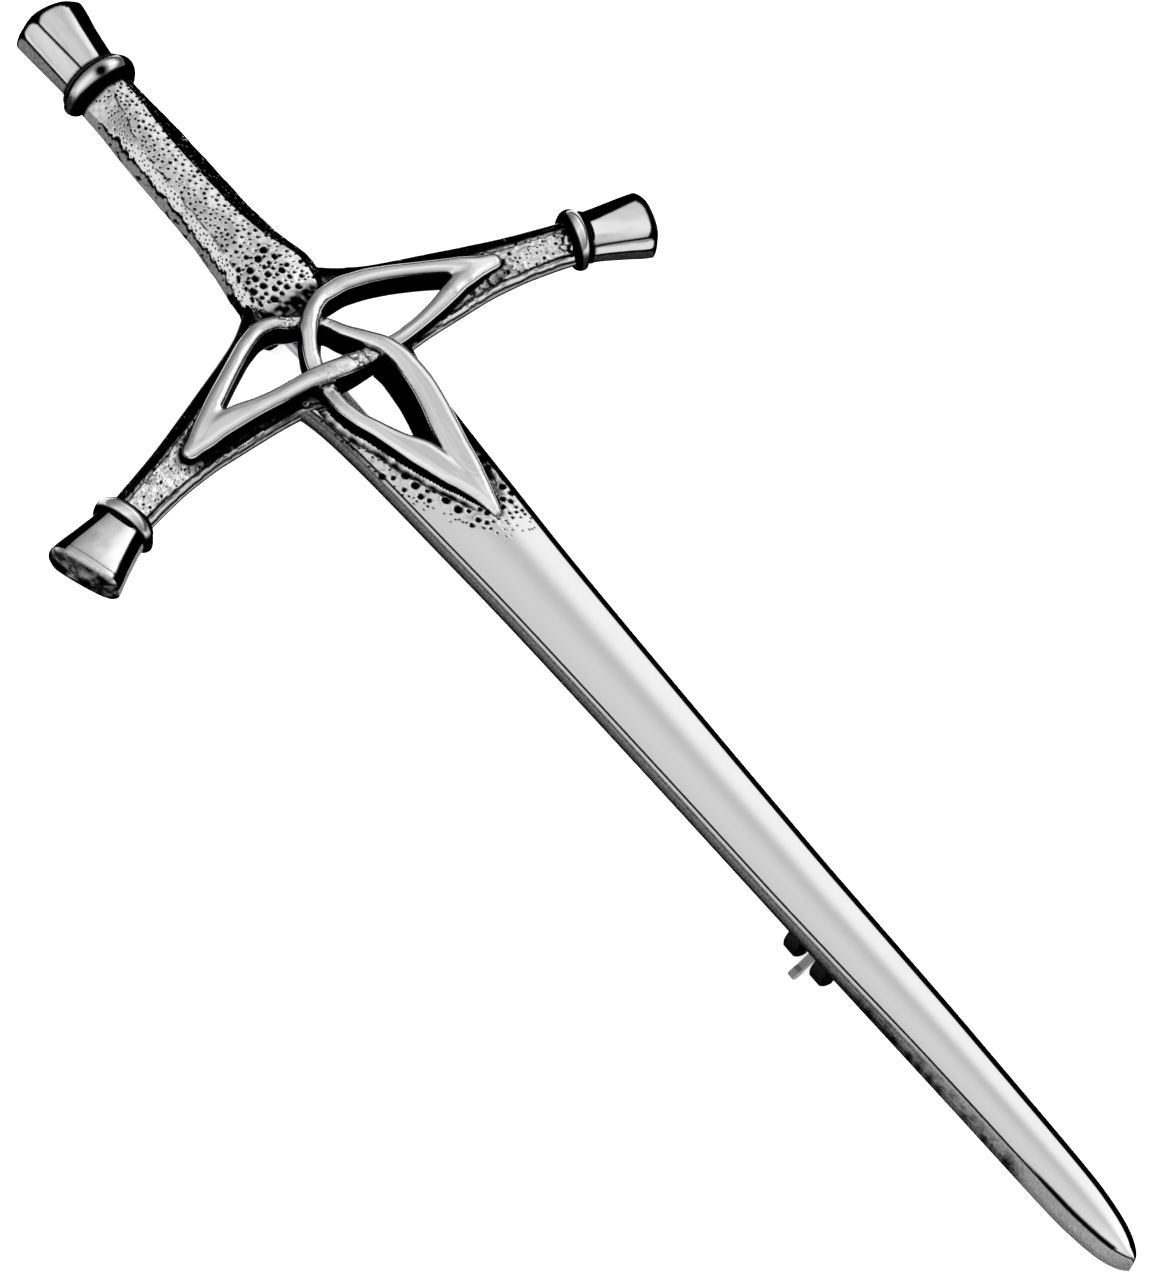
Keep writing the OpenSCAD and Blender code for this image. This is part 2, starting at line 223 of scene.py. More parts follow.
def tube(name, rings, oxide_and_shade, slot="pewter"):
    """A tube of closed rings, each end closed by a fan round its middle."""
    nu, nv = rings.shape[:2]
    count = nu * nv
    index = np.arange(count).reshape(nu, nv)
    turn = np.roll(index, -1, 1)
    sides = np.stack([index[:-1], turn[:-1], turn[1:], index[1:]], -1).reshape(-1, 4)
    first = np.stack([np.full(nv, count), turn[0], index[0], index[0]], -1)
    last = np.stack([np.full(nv, count + 1), index[-1], turn[-1], turn[-1]], -1)
    oxide_and_shade = np.broadcast_to(oxide_and_shade, (nu, nv))
    points = np.concatenate([rings.reshape(-1, 3), rings[[0, -1]].mean(1)])
    stain = np.concatenate([oxide_and_shade.ravel(), oxide_and_shade[[0, -1]].mean(1)])
    make_piece(name, points, np.concatenate([sides, first, last]), stain, slot)


def loop(name, rings, oxide_and_shade):
    """A pewter piece from a grid that is closed both ways."""
    nu, nv = rings.shape[:2]
    index = np.arange(nu * nv).reshape(nu, nv)
    right = np.roll(index, -1, 1)
    faces = np.stack([index, right, np.roll(right, -1, 0), np.roll(index, -1, 0)], -1)
    make_piece(name, rings, faces.reshape(-1, 4), oxide_and_shade)


# The knot

# Points of the three lobes and strands of the knot: [x, y, width, height of the top]
FAR_POINT = (29.38, 11.45, 0.75, 2.0)
BLADE_POINT = (42.6, 1.08, 0.4, 1.42)
NEAR_POINT = (29.5, -11.25, 0.72, 1.95)
STRANDS = (
    # from the far arm's lobe round the middle and down the near side of the blade's lobe
    (FAR_POINT, (29.05, 10.6, 0.98, 2.12), (28.65, 9.7, 1.15, 2.2), (28.0, 8.55, 0.92, 2.25),
     (27.2, 7.05, 0.84, 2.25), (26.45, 5.5, 0.88, 2.25), (25.9, 4.05, 0.96, 2.25), (25.62, 2.7, 1.0, 2.28),
     (25.65, 1.55, 0.98, 2.35), (25.95, 0.68, 0.96, 2.42), (26.4, 0, 1.0, 2.45), (27.0, -0.6, 1.0, 2.4),
     (27.7, -1.1, 0.92, 2.25), (28.4, -1.47, 0.95, 2.05), (29.1, -1.7, 1.0, 1.9), (29.9, -1.85, 1.0, 1.88),
     (31.0, -2.1, 0.96, 1.98), (32.1, -2.15, 0.92, 2.1), (33.3, -1.95, 0.9, 2.18), (34.5, -1.5, 0.98, 2.2),
     (36.1, -0.88, 1.28, 2.18), (37.5, -0.2, 1.75, 2.1), (39.0, 0.3, 1.62, 1.98), (40.6, 0.8, 1.2, 1.8),
     (41.9, 1.0, 0.62, 1.58), BLADE_POINT),
    # from the blade's lobe over the far side of the middle to the near arm's lobe
    (BLADE_POINT, (41.8, 1.2, 0.75, 1.6), (40.4, 1.38, 1.2, 1.8), (38.5, 1.55, 1.65, 2.0),
     (36.6, 1.93, 1.7, 2.15), (35.0, 2.33, 1.6, 2.25), (33.4, 2.6, 1.5, 2.32), (31.9, 2.66, 1.3, 2.4),
     (30.6, 2.44, 1.1, 2.45), (29.4, 1.8, 0.92, 2.35), (28.2, 1.1, 0.78, 2.15), (27.1, 0.62, 0.72, 1.95),
     (26.5, 0.1, 0.78, 1.85), (26.1, -0.65, 0.8, 1.88), (25.85, -1.25, 0.8, 2.0), (25.45, -1.95, 0.8, 2.15),
     (25.3, -2.9, 0.88, 2.22), (25.6, -4.05, 0.9, 2.25), (26.35, -5.6, 0.92, 2.25), (27.05, -6.9, 0.98, 2.25),
     (27.7, -8.1, 1.05, 2.22), (28.45, -9.4, 1.05, 2.15), (29.06, -10.5, 0.9, 2.05), NEAR_POINT),
    # from the near arm's lobe across to the far arm's
    (NEAR_POINT, (29.5, -10.4, 0.95, 2.08), (29.2, -9.0, 1.45, 2.18), (29.25, -7.7, 1.4, 2.25),
     (29.45, -6.2, 1.1, 2.28), (29.6, -4.9, 1.02, 2.3), (29.7, -3.6, 1.04, 2.36), (29.85, -2.3, 1.15, 2.45),
     (30.05, -1.3, 1.25, 2.45), (30.2, -0.3, 1.25, 2.35), (30.25, 0.8, 1.15, 2.05), (30.3, 2.2, 0.95, 1.88),
     (30.3, 3.6, 0.8, 1.9), (30.25, 4.7, 0.8, 2.0), (30.0, 6.5, 0.9, 2.12), (29.65, 8.05, 1.08, 2.2),
     (29.43, 9.25, 1.1, 2.2), (29.44, 10.3, 0.88, 2.12), FAR_POINT),
)
# Openings: stretches of strands that close a loop, each [strand, from row, to row]
LOOPS = (
    ((0, 0, 10), (1, 12, 8), (2, 11, 18)),
    ((1, 12, 23), (2, 0, 7), (0, 14, 10)),
    ((0, 15, 25), (1, 0, 8), (2, 11, 8)),
    ((0, 10, 14), (2, 8, 11), (1, 8, 12)),
)
# Lobes: the two strands that meet there and the point; how far from it they flow together
LOBES = ((0, 2, FAR_POINT), (0, 1, BLADE_POINT), (1, 2, NEAR_POINT))
LOBE_REACH = 5.5
# Width and drop of a strand's rounded edge
BAND_ROUND, BAND_DROP = 0.56, 0.28
# Casting flaws [x, y, reach] and their height; the centre of the middle opening
LUMPS = ((30.45, 0.8, 1.05), (25.8, -1.2, 0.75), (26.8, 0.85, 0.5), (30.8, -1.7, 0.7))
LUMP_RISE = 0.13
MIDDLE = (28.1, 0.35)
KNOT_X, KNOT_Y, GRID = (24.4, 43.6), (-12.3, 12.3), 0.06
# Farther out than any point of the knot
OUT = 9.0
# Oxide of every flat back
BACK_STAIN = 0.35


def strand_lines():
    """Each strand as points [x, y, half width, height], a grid step apart on a smooth curve."""
    lines = []
    for rows in STRANDS:
        rows = np.array(rows)
        along = np.concatenate([[0], np.cumsum(np.hypot(*np.diff(rows[:, :2], axis=0).T))])
        s = np.arange(0, along[-1], GRID)
        lines.append(np.stack([smooth(s, along, rows[:, k]) for k in range(4)], -1) * [1, 1, 0.5, 1])
    return lines


LINES = strand_lines()


def band_depths(x, y):
    """How deep a point lies inside each strand, in mm, and the strand's height there.

    The depth is the half width at the nearest point of the strand's curve less the distance to it.
    """
    flat = np.stack([x.ravel(), y.ravel()], -1)
    depth = np.full((3, len(flat)), -OUT)
    height = np.zeros((3, len(flat)))
    for k, line in enumerate(LINES):
        lo, hi = line[:, :2].min(0) - 2, line[:, :2].max(0) + 2
        near = np.flatnonzero(((flat > lo) & (flat < hi)).all(1))
        for part in np.array_split(near, max(1, len(near) // 4000)):
            gap = np.hypot(flat[part, :1] - line[:, 0], flat[part, 1:] - line[:, 1])
            best = np.argmax(line[:, 2] - gap, 1)
            depth[k, part] = line[best, 2] - gap[np.arange(len(part)), best]
            height[k, part] = line[best, 3]
    return depth.reshape(3, *x.shape), height.reshape(3, *x.shape)


def merged(depth, x, y):
    """Depths in which the two strands of a lobe flow together near its point.

    There both take the smooth maximum of the two: the greater one plus a rounded fillet.
    """
    depth, round_off = depth.copy(), 0.5
    for i, j, (px, py, *_) in LOBES:
        near = 1 - ease(LOBE_REACH * 0.6, LOBE_REACH, np.hypot(x - px, y - py))
        a, b = depth[i], depth[j]
        fillet = np.maximum(round_off - np.abs(a - b), 0) ** 2 / (4 * round_off)
        both = np.maximum(a, b) + fillet * near * (np.minimum(a, b) > -round_off)
        depth[i] = np.where((near > 0) & (b > -round_off), a + (both - a) * near, a)
        depth[j] = np.where((near > 0) & (a > -round_off), b + (both - b) * near, b)
    return depth


def band_gap(x, y):
    """Distance from the nearest strand's edge, positive outside."""
    return -band_depths(x, y)[0].max(0)


def knot_surface():
    """The knot as a relief: height over the plan is the strand's top less a quarter of an ellipse.

    Where strands cross, the higher one shows, and beside its edge the lower one is painted black, both as
    its shadow and as the patina of the crease. Border points are drawn onto the strands' edges along the
    slope of the depth. Under a lip the walls are black, both patina and painted shade. Casting draft
    moves the back border of the blade's opening along that slope, and of the middle one toward its
    centre, so both are narrower at the back. Gives the layers, their patina and painted shade, and the
    kept cells.
    """
    x, y = np.meshgrid(np.arange(*KNOT_X, GRID), np.arange(*KNOT_Y, GRID), indexing="ij")
    depth, height = band_depths(x, y)
    depth = merged(depth, x, y)
    inside = depth.max(0)
    keep = (inside[:-1, :-1] + inside[1:, :-1] + inside[1:, 1:] + inside[:-1, 1:]) / 4 > 0
    room = np.pad(keep, 1).astype(int)
    around = room[:-1, :-1] + room[1:, :-1] + room[1:, 1:] + room[:-1, 1:]
    border = (around > 0) & (around < 4)
    gx, gy = np.gradient(inside, GRID)
    pull = border * np.clip(inside / np.maximum(gx ** 2 + gy ** 2, 0.25), -GRID, GRID)
    x, y = x - pull * gx, y - pull * gy
    depth = np.where(border, depth - inside, depth)
    q = BAND_ROUND - np.clip(depth, 0, BAND_ROUND)
    tops = height - BAND_DROP * (1 - np.sqrt(np.maximum(1 - (q / BAND_ROUND) ** 2, 0)))
    tops = np.where(depth >= -1e-9, tops, -OUT)
    z, top = tops.max(0), tops.argmax(0)
    # Painted shadow: a lower strand turns black beside the edge of a strand that crosses over it, with patina
    # in the crease.
    over = height > np.take_along_axis(height, top[None], 0) + 0.1
    outside = np.where(np.arange(3)[:, None, None] == top, OUT, -depth)
    outside = np.where(over, outside, OUT).min(0)
    oxide_and_shade = 0.9 * bell(np.maximum(outside, 0), 0.14)
    z = z + 0.012 * noise(x, y, 0.9, 3) * ease(0, 0.2, inside)
    rough = noise(x, y, 0.22, 5) * 0.6 + noise(x, y, 0.12, 6) * 0.4
    for lump_x, lump_y, reach in LUMPS:
        near = bell(np.hypot(x - lump_x, y - lump_y) / reach, 0.8)
        z = z + LUMP_RISE * near * rough * ease(0, 0.1, inside)
        oxide_and_shade = np.maximum(oxide_and_shade, 0.75 * near * ease(0.05, 0.5, -rough))
    blade_side, middle = (in_polygon(x, y, OPENINGS[k]) * bell(np.maximum(inside, 0), 0.3) for k in (2, 3))
    draft_x, draft_y, draft_middle, lip = 0.75, 0.55, 0.42, 0.07
    back_x = x - draft_x * blade_side * np.clip(gx, 0, 1) + draft_middle * middle * (MIDDLE[0] - x)
    back_y = y - draft_y * blade_side * np.clip(gy, 0, 1) + draft_middle * middle * (MIDDLE[1] - y)
    layers = [np.stack([x, y, z], -1), np.stack([x, y, z - lip], -1)]
    layers += [np.stack([back_x, back_y, np.full_like(z, level)], -1) for level in (0.1, -0.015)]
    # The lip and the walls are black: patina in the openings and painted shade.
    return layers, (oxide_and_shade, 1, 0.95, BACK_STAIN), keep


# Ground of the arms and the blade's base

# The arms' sides: distance out from the blade's middle line and x there
ARM_OUT = (0, 1.0, 2.0, 2.87, 4.39, 6.2, 8.28, 10.3, 13.1, 16.9)
ARM_GRIP_SIDE = (21.6, 22.1, 23.0, 23.7, 24.75, 25.58, 26.4, 27.2, 28.25, 29.45)
ARM_BLADE_OUT = (0, 1.5, 2.6, 4.2, 6.4, 9.7, 12.2, 14.4, 16.9)
ARM_BLADE_SIDE = (33.0, 32.6, 31.7, 31.0, 30.9, 30.9, 31.1, 31.5, 32.12)
# Heights over the back: the sunk ground, the rim's top and the foot of the edges' chamfer
GROUND, RIM, CHAMFER = 1.3, 1.85, 0.4
# How far the ground falls toward the blade's side, and rises before that on the far arm
BLADE_SLOPE, FAR_RISE = 0.42, 0.32
# Share of the width that a side wall takes in the grid
WALL_SHARE = 1e-3


def loop_corners(stretches):
    """Corners [x, y] of a loop, row by row along its strands."""
    corners = []
    for strand, first, last in stretches:
        step = 1 if last > first else -1
        corners += [STRANDS[strand][k][:2] for k in range(first, last + step, step)]
    return corners


OPENINGS = [loop_corners(stretches) for stretches in LOOPS]


def in_polygon(x, y, corners):
    """Whether points lie inside a polygon: an odd number of its edges lie to the right of them."""
    inside = np.zeros(x.shape, bool)
    for (ax, ay), (bx, by) in zip(corners, corners[1:] + corners[:1]):
        if ay == by:
            continue
        crosses = (ay > y) != (by > y)
        inside ^= crosses & (x < (bx - ax) * (y - ay) / (by - ay) + ax)
    return inside


def open_cells(x, y):
    """Cells of a grid whose middle lies in one of the knot's openings."""
    mx = (x[:-1, :-1] + x[1:, 1:]) / 2
    my = (y[:-1, :-1] + y[1:, 1:]) / 2
    hole = np.zeros(mx.shape, bool)
    for corners in OPENINGS:
        hole |= in_polygon(mx, my, corners)
    return hole


def arm_surface(side):
    """One arm as a relief over a grid fitted between its two sides.

    From the grip's side inward: a wall, a rounded rim painted black as a dark reflection, and the sunk
    ground with cast pits. Toward the blade's side the ground slopes down to a thin broken rim and a low
    wall. There the near arm is painted black as shade, and the far one dotted. Painted shadows lie beside
    the strands and the lobes, and painted shade on the walls and under the knot. Gives the layers, their
    patina and painted shade, and the kept cells.
    """
    out = np.concatenate([np.arange(0, 4.4, 0.1), np.arange(4.4, 16.7, 0.085), [16.9, 17.2]])
    wall = np.array([0.0, 0.5, 1.0]) * WALL_SHARE
    across = np.concatenate([wall, np.linspace(0.004, 0.996, 64), 1 - wall[::-1]])
    u, v = np.meshgrid(out, across, indexing="ij")
    grip_x, blade_x = smooth(u, ARM_OUT, ARM_GRIP_SIDE), smooth(u, ARM_BLADE_OUT, ARM_BLADE_SIDE)
    x, y = grip_x + (blade_x - grip_x) * v, side * u
    a, b = x - grip_x, blade_x - x
    gap = band_gap(x, y)
    beyond = np.maximum(gap, 0)
    rough = noise(x, y, 0.35, 11) * 0.5 + noise(x, y, 0.16, 12) * 0.5
    broken = 0.025 * noise(0, y, 0.9, 13) + 0.02 * noise(0, y, 0.25, 14)
    swell, outer, by_blade = ease(2.4, 4.2, u), ease(10.5, 12.5, u), v > 0.5
    rim = bell(a - 0.38, 0.16) * (RIM - GROUND) * swell - 0.08 * bell(a - 0.7, 0.08)
    rim = rim + (0.2 * bell(b - 0.3 + broken, 0.09) - 0.25 * bell(b, 0.12)) * swell
    slope = BLADE_SLOPE * (1 - ease(0.2, 1.7, b)) * swell
    floor = ease(0.6 - 0.1 * outer, 0.9 - 0.25 * outer, a) * ease(0.4, 0.6, b)
    raised = FAR_RISE * (side > 0) * by_blade * ease(0.3, 1.1, b) * swell * (1 - ease(11.5, 13.5, u))
    z = GROUND + rim - slope + raised - 0.1 * bell(beyond, 0.2)
    z = z + 0.08 * rough * floor + 0.02 * rough * (1 - floor) + 0.18 * ease(12.5, 15.0, u) * floor
    spots = scatter(1100, (24.5, 3.0), (32.4, 16.5), lambda px, py, s: 0.05 + 0.09 * s ** 3, 21 + side, 1.3)
    height, stain = pits(x, u, spots)
    z = z + height * floor
    # The near arm's strip by the blade is painted shade; the far arm's dots are patina.
    if side < 0:
        strip = ease(0.34, 0.42, b + broken) * ease(2.6, 4.2, u) * (1 - ease(10.5, 12.5, u + rough))
        strip = strip * (0.9 + 0.35 * rough)
    else:
        strip = 0.8 * ease(0.1, 0.5, noise(x, y, 0.22, 17)) * floor * (1 - ease(11.0, 12.5, u))
    limit = 0.6 - 0.1 * outer + 0.14 * noise(x, y, 0.5, 18) * outer
    # Painted dark reflection along the rounded rim by the grip.
    rim_dark_reflection = (1 - ease(limit, limit + 0.14, a + 0.05 * rough)) * ease(0.02, 0.06, a)
    rim_dark_reflection = rim_dark_reflection * (0.95 - 0.4 * ease(0.62, 0.75, noise(x, y, 0.17, 15)))
    # Painted shadows on the ground beside the lobes' points.
    lobe_shadows = [1.25 * bell(np.hypot(x - px, y - py - 0.4 * side), 1.0) * bell(beyond, 0.45 + 0.3 * rough)
                  for _, _, (px, py, *_) in LOBES]
    # Pits, the rim's groove and the mottled ground are patina. Beside the strands lies painted shadow, along
    # the blade side's rim and edge painted dark lines, and near the middle painted shade under the knot.
    oxide_and_shade = darkest(
        stain * floor, strip * by_blade, rim_dark_reflection, *lobe_shadows,
        0.97 * bell(np.maximum(gap - 0.04, 0), 0.13),
        0.92 * bell(a - 0.66 + 0.12 * outer, 0.12),
        0.97 * bell(b - 0.5 + broken, 0.07 + 0.03 * rough),
        0.95 * bell(b - 0.12 + broken, 0.06),
        (0.75 + 0.3 * rough) * (1 - ease(2.5, 5.0, u)),
        floor * (0.36 - 0.25 * ease(11.6, 13.4, u) + 0.45 * rough))
    edge = (v < 2 * WALL_SHARE) | (v > 1 - 2 * WALL_SHARE)
    z = np.where(edge, CHAMFER + (z - CHAMFER) * np.minimum(v, 1 - v) / WALL_SHARE, z)
    # Painted shade on the side walls, darker on the near arm.
    oxide_and_shade = np.where(edge, 0.72 if side > 0 else 0.9, oxide_and_shade)
    inset = 0.22 * (2 * v - 1) ** 5
    layers = np.stack([x, y, z], -1), np.stack([x - inset, y, np.zeros_like(x)], -1)
    return layers, (oxide_and_shade, BACK_STAIN), ~open_cells(x, y)


# The blade: for each station half the width, and the height of its edges over the back
BLADE_X = (30.2, 31, 34.7, 38.4, 41.7, 47.7, 52.4, 57.6, 63.3, 71.1, 77.3, 83, 87.8, 91.8, 95.2, 97.1, 98.5,
           99.25, 99.75, 100)
BLADE_HALF = (4.6, 4.15, 3.6, 3.35, 3.18, 2.87, 2.71, 2.56, 2.41, 2.23, 2.09, 1.94, 1.82, 1.73, 1.62, 1.42,
              1.14, 0.84, 0.5, 0.05)
EDGE_X = (30, 36, 45, 70, 76, 84, 92, 97, 99, 100)
EDGE_Z = (1.0, 0.97, 0.95, 0.95, 1.1, 1.38, 1.42, 1.35, 1.2, 1.05)
# Height of the face as a share of its half width; widths of the bevels and how far they drop
FACE_RISE = 0.12
NEAR_BEVEL, FAR_BEVEL, BEVEL_DROP = 0.6, 0.44, 0.2
# Painted shade across the near bevel, by the share of its width from the wall
BEVEL_SHARE = (0, 0.3, 0.5, 0.58, 0.66, 0.78, 0.86, 1)
NEAR_BEVEL_SHADE = (0.72, 0.64, 0.58, 0.78, 0.54, 0.3, 0.02, 0.02)


def blade_pit_size(x, y, share):
    """Radius of a pit at the blade's base: largest beside the lobe, none past it."""
    gap = band_gap(np.array([x]), np.array([y]))[0]
    if abs(y) > smooth(np.array(x), BLADE_X, BLADE_HALF) - 0.45 or gap < 0.62 - 0.35 * (y > 0.3):
        return 0
    fade = float(1 - ease(41.3, 44.6, np.array(x)))
    if share > 0.2 + 0.8 * fade:
        return 0
    if y < 0.3 and (x < 36.8 or gap > 1.5):
        return 0.08 if gap < 2.0 and x < 42.5 and share < 0.35 else 0
    return (0.15 + 0.15 * share) * (0.4 + 0.6 * fade)


def blade_surface():
    """The blade as a relief over a grid fitted to its outline.

    Across: a wall, a bevel, and a face that is a parabola as high as a share of its half width. A
    fine groove runs between the near bevel and the face. The ground sinks beside the lobe and is
    pitted. The near bevel and the walls carry painted shade, the far bevel a painted dark reflection,
    and the ground beside the lobe a painted shadow. Gives the layers, their patina and painted shade,
    and the kept cells.
    """
    along = np.concatenate([np.arange(30.6, 45.2, 0.09), np.arange(45.3, 90, 0.42), np.arange(90, 98, 0.16),
                            np.arange(98, 99.99, 0.06)])
    levels = np.array([0.0, 0.25, 0.5, 0.75, 0.95])
    bevel = np.linspace(0, 1, 14)[:-1]
    face = np.linspace(-1, 1, 79)
    face = np.sign(face) * (1 - (1 - np.abs(face)) ** 1.12)
    half = smooth(along, BLADE_X, BLADE_HALF)[:, None]
    edge = smooth(along, EDGE_X, EDGE_Z)[:, None]
    near, far = np.minimum(NEAR_BEVEL, 1.2 * half), np.minimum(FAR_BEVEL, 0.5 * half)
    face_half = half - (near + far) / 2
    foot = edge - BEVEL_DROP
    low = np.minimum(CHAMFER, foot * 0.5)
    taper = 0.04 * (1 - levels) ** 2
    y = np.concatenate([-half + taper, -half + near * bevel, (near - far) / 2 + face * face_half,
                        half - far * bevel[::-1], half - taper[::-1]], 1)
    z = np.concatenate([low + (foot - low) * levels, foot + BEVEL_DROP * bevel ** 0.8,
                        edge + FACE_RISE * face_half * (1 - face ** 2), foot + BEVEL_DROP * bevel[::-1],
                        low + (foot - low) * levels[::-1]], 1)
    x = np.broadcast_to(along[:, None], y.shape).copy()
    line = y + half - near
    groove = bell(line - 0.03, 0.075)
    z = z - 0.03 * groove
    gap = band_gap(x, y)
    base = (1 - ease(42.5, 45, x)) * (np.abs(y) < half - 0.36)
    # Beside the lobe the ground sinks and is painted dark as the lobe's shadow.
    beside = 0.85 * bell(gap - 0.42, 0.17) * (1 - ease(41, 42.5, x))
    beside = np.maximum(bell(np.maximum(gap - 0.04, 0), 0.1), beside)
    rough = noise(x, y, 0.4, 31) * 0.6 + noise(x, y, 0.18, 32) * 0.4
    z = z - base * (0.28 * beside + 0.05 * rough * (1 - ease(0.8, 1.6, gap)))
    spots = scatter(2500, (31.5, -3.7), (44.8, 3.7), blade_pit_size, 41, 1.16)
    height, stain = pits(x, y, spots, 0.8)
    z = z + height * ease(0.2, 0.34, half - np.abs(y))
    tip = ease(88, 95, x)
    share = np.clip((y + half) / near, 0, 1)
    # Painted shade across the near bevel, in bands, darker at the base.
    grey = smooth(share, BEVEL_SHARE, NEAR_BEVEL_SHADE)
    grey = grey + ease(78, 86, x) * (0.52 - 0.05 * share - grey)
    grey = np.maximum(grey, 0.62 * (1 - ease(34, 41, x)))
    # Painted shadow on the near side beside the lobe, roughened.
    strip = bell(np.maximum(gap - 0.3, 0), 0.7) * (1 - ease(37, 41.5, x)) * (y < 0)
    oxide_and_shade = darkest(
        0.97 * groove, grey * (line < 0), stain,
        tip * bell(line - 0.08 * tip, 0.05 + 0.13 * tip) * (1 - ease(98.6, 99.1, x)),
        base * (0.9 + 0.5 * rough) * beside,
        base * strip * (0.35 + 0.45 * rough),
        base * (y > 0.3) * (1 - ease(39.5, 43, x)) * (0.6 + 0.5 * rough))
    # Painted shade on the walls: the near one darker toward the bottom, the far one black.
    walls = (z < foot + 0.02) & (np.abs(y) > half - 0.06)
    near_wall = 0.78 - 0.06 * z / foot - 0.2 * ease(78, 86, x)
    oxide_and_shade = np.where(walls, np.where(y < 0, near_wall, 0.9), oxide_and_shade)
    mottle = ease(-0.3, 0.8, noise(x, y, 0.4, 33) + 0.7 * noise(x, y, 0.15, 34))
    mottle = ease(77, 82, x) * (0.4 + 0.8 * mottle) * (1 - 0.8 * share)
    oxide_and_shade = np.where((line < -0.1) & (share < 0.75), oxide_and_shade + 0.2 * mottle * (1 - ease(91, 93, x)), oxide_and_shade)
    # Painted dark reflection on the far bevel.
    oxide_and_shade = np.maximum(oxide_and_shade, 0.95 * (y > half - far + 0.01))
    back = np.stack([x, y * (1 - 0.2 / np.maximum(half, 0.5)), np.zeros_like(x)], -1)
    return (np.stack([x, y, z], -1), back), (oxide_and_shade, BACK_STAIN), ~open_cells(x, y)


# Faceted bodies: pommel, grip and arm ends

# Flared bodies: sections [across, up] in mm by the collar (neck) and at the rim (end), from the edge of
# the back on the near side over the top to its other edge; the depth of the groove at each corner and
# the painted shade of each facet. For the rest see flared_body.
FLARED = {
    "pommel": {
        "neck": ((-1.6, 0), (-1.72, 0.3), (-1.6, 1.15), (-0.59, 2.15), (0.73, 2.2), (1.65, 1.6),
                 (1.75, 1.3), (1.75, 0.3), (1.6, 0)),
        "end": ((-1.8, 0), (-2.05, 0.35), (-1.72, 1.25), (-0.9, 2.3), (1.35, 2.4), (2.3, 1.75),
                (2.45, 1.4), (2.4, 0.35), (2.0, 0)),
        "grooves": (0, 0, 0.05, 0.05), "stains_and_shades": (0.6, 0.6, 0, 0, 0.97, 0.6, 0.5, 0.4),
        "rim": 0.87, "line": 0, "seed": 51, "setback": 0.4, "lean": -0.4, "neck_shade": 0.85},
    "arm_end_far": {
        "neck": ((-1.3, 0), (-1.45, 0.3), (-1.4, 0.95), (-1.2, 1.65), (0.1, 2.2), (1.2, 1.6),
                 (1.35, 1.2), (1.35, 0.3), (1.2, 0)),
        "end": ((-2.1, 0), (-2.35, 0.35), (-2.25, 1.1), (-1.9, 1.95), (0.6, 2.4), (1.45, 1.75),
                (1.6, 1.35), (1.6, 0.35), (1.4, 0)),
        "grooves": (0, 0, 0.045, 0.045), "stains_and_shades": (0.6, 0.74, 0.1, 0, 0.97, 0.6, 0.5, 0.4),
        "rim": 0.86, "line": 0, "seed": 72, "setback": 0.2, "lean": 0, "neck_shade": 0.5},
    "arm_end_near": {
        "neck": ((-1.15, 0), (-1.3, 0.3), (-1.25, 1.2), (-1.15, 1.6), (-0.5, 2.2), (1.3, 2.0),
                 (1.75, 1.1), (1.8, 0.5), (1.8, 0.3), (1.65, 0)),
        "end": ((-1.75, 0), (-2.0, 0.35), (-1.95, 1.3), (-1.8, 1.65), (-0.95, 2.4), (2.2, 2.1),
                (2.58, 1.1), (2.65, 0.6), (2.65, 0.35), (2.4, 0)),
        "grooves": (), "stains_and_shades": (0.5, 0.5, 0.4, 0.97, 0, 0.97, 0.5, 0.5, 0.5),
        "rim": 0.9, "line": 0.8, "seed": 70, "setback": 0.42, "lean": -0.4, "neck_shade": 0.5},
}
# The grip: for each station x of the first row, [across] of the corners and [up] as shares of the height
GRIP_X = (5.6, 8.4, 10.6, 12.7, 17.2, 20.3, 23.0, 24.2, 25.4)
GRIP_ACROSS = ((-1.6, -1.62, -1.7, -1.75, -1.8, -2.0, -2.35, -2.35, -2.0),
               (-1.72, -1.75, -1.86, -1.92, -1.98, -2.24, -2.6, -2.55, -2.2),
               (-1.5, -1.55, -1.68, -1.66, -1.84, -2.08, -2.38, -2.3, -1.95),
               (-0.1, -0.35, -0.95, -1.25, -1.4, -1.62, -2.0, -1.9, -1.5),
               (1.0, 1.0, 0.82, 0.75, 0.85, 1.25, 2.0, 2.0, 1.7),
               (1.7, 1.75, 1.88, 1.95, 2.02, 2.27, 2.8, 2.7, 2.3),
               (1.72, 1.75, 1.86, 1.92, 2.05, 2.28, 2.82, 2.7, 2.3),
               (1.6, 1.62, 1.7, 1.75, 1.85, 2.05, 2.55, 2.45, 2.1))
GRIP_UP = (0, 0.12, 0.5, 1.0, 0.93, 0.6, 0.15, 0)
# Share of the full height along the grip
GRIP_HEIGHT_X = (5.6, 8, 16, 22.0, 23.4, 24.4, 25.4)
GRIP_HEIGHT = (0.9, 0.93, 0.98, 1, 0.95, 0.82, 0.6)
# Painted shade of its facets and points along each; the black one is the far bevel's painted dark
# reflection, and the strip beside the top starts at the point STRIP_START.
BEVEL_DARK_REFLECTION = 0.97
GRIP_FACET_SHADE = (0.6, 0.56, 0.05, 0, BEVEL_DARK_REFLECTION, 0.5, 0.4)
GRIP_COUNTS = (4, 14, 24, 44, 22, 8, 4)
STRIP_START = sum(GRIP_COUNTS[:2])
# Points across a flat back and the oxide there
BACK_STEPS, BACK_OXIDE = 10, 0.4


def shares(counts):
    """Shares from 0 on along each facet, one after the other."""
    return np.concatenate([np.arange(n) / n for n in counts])


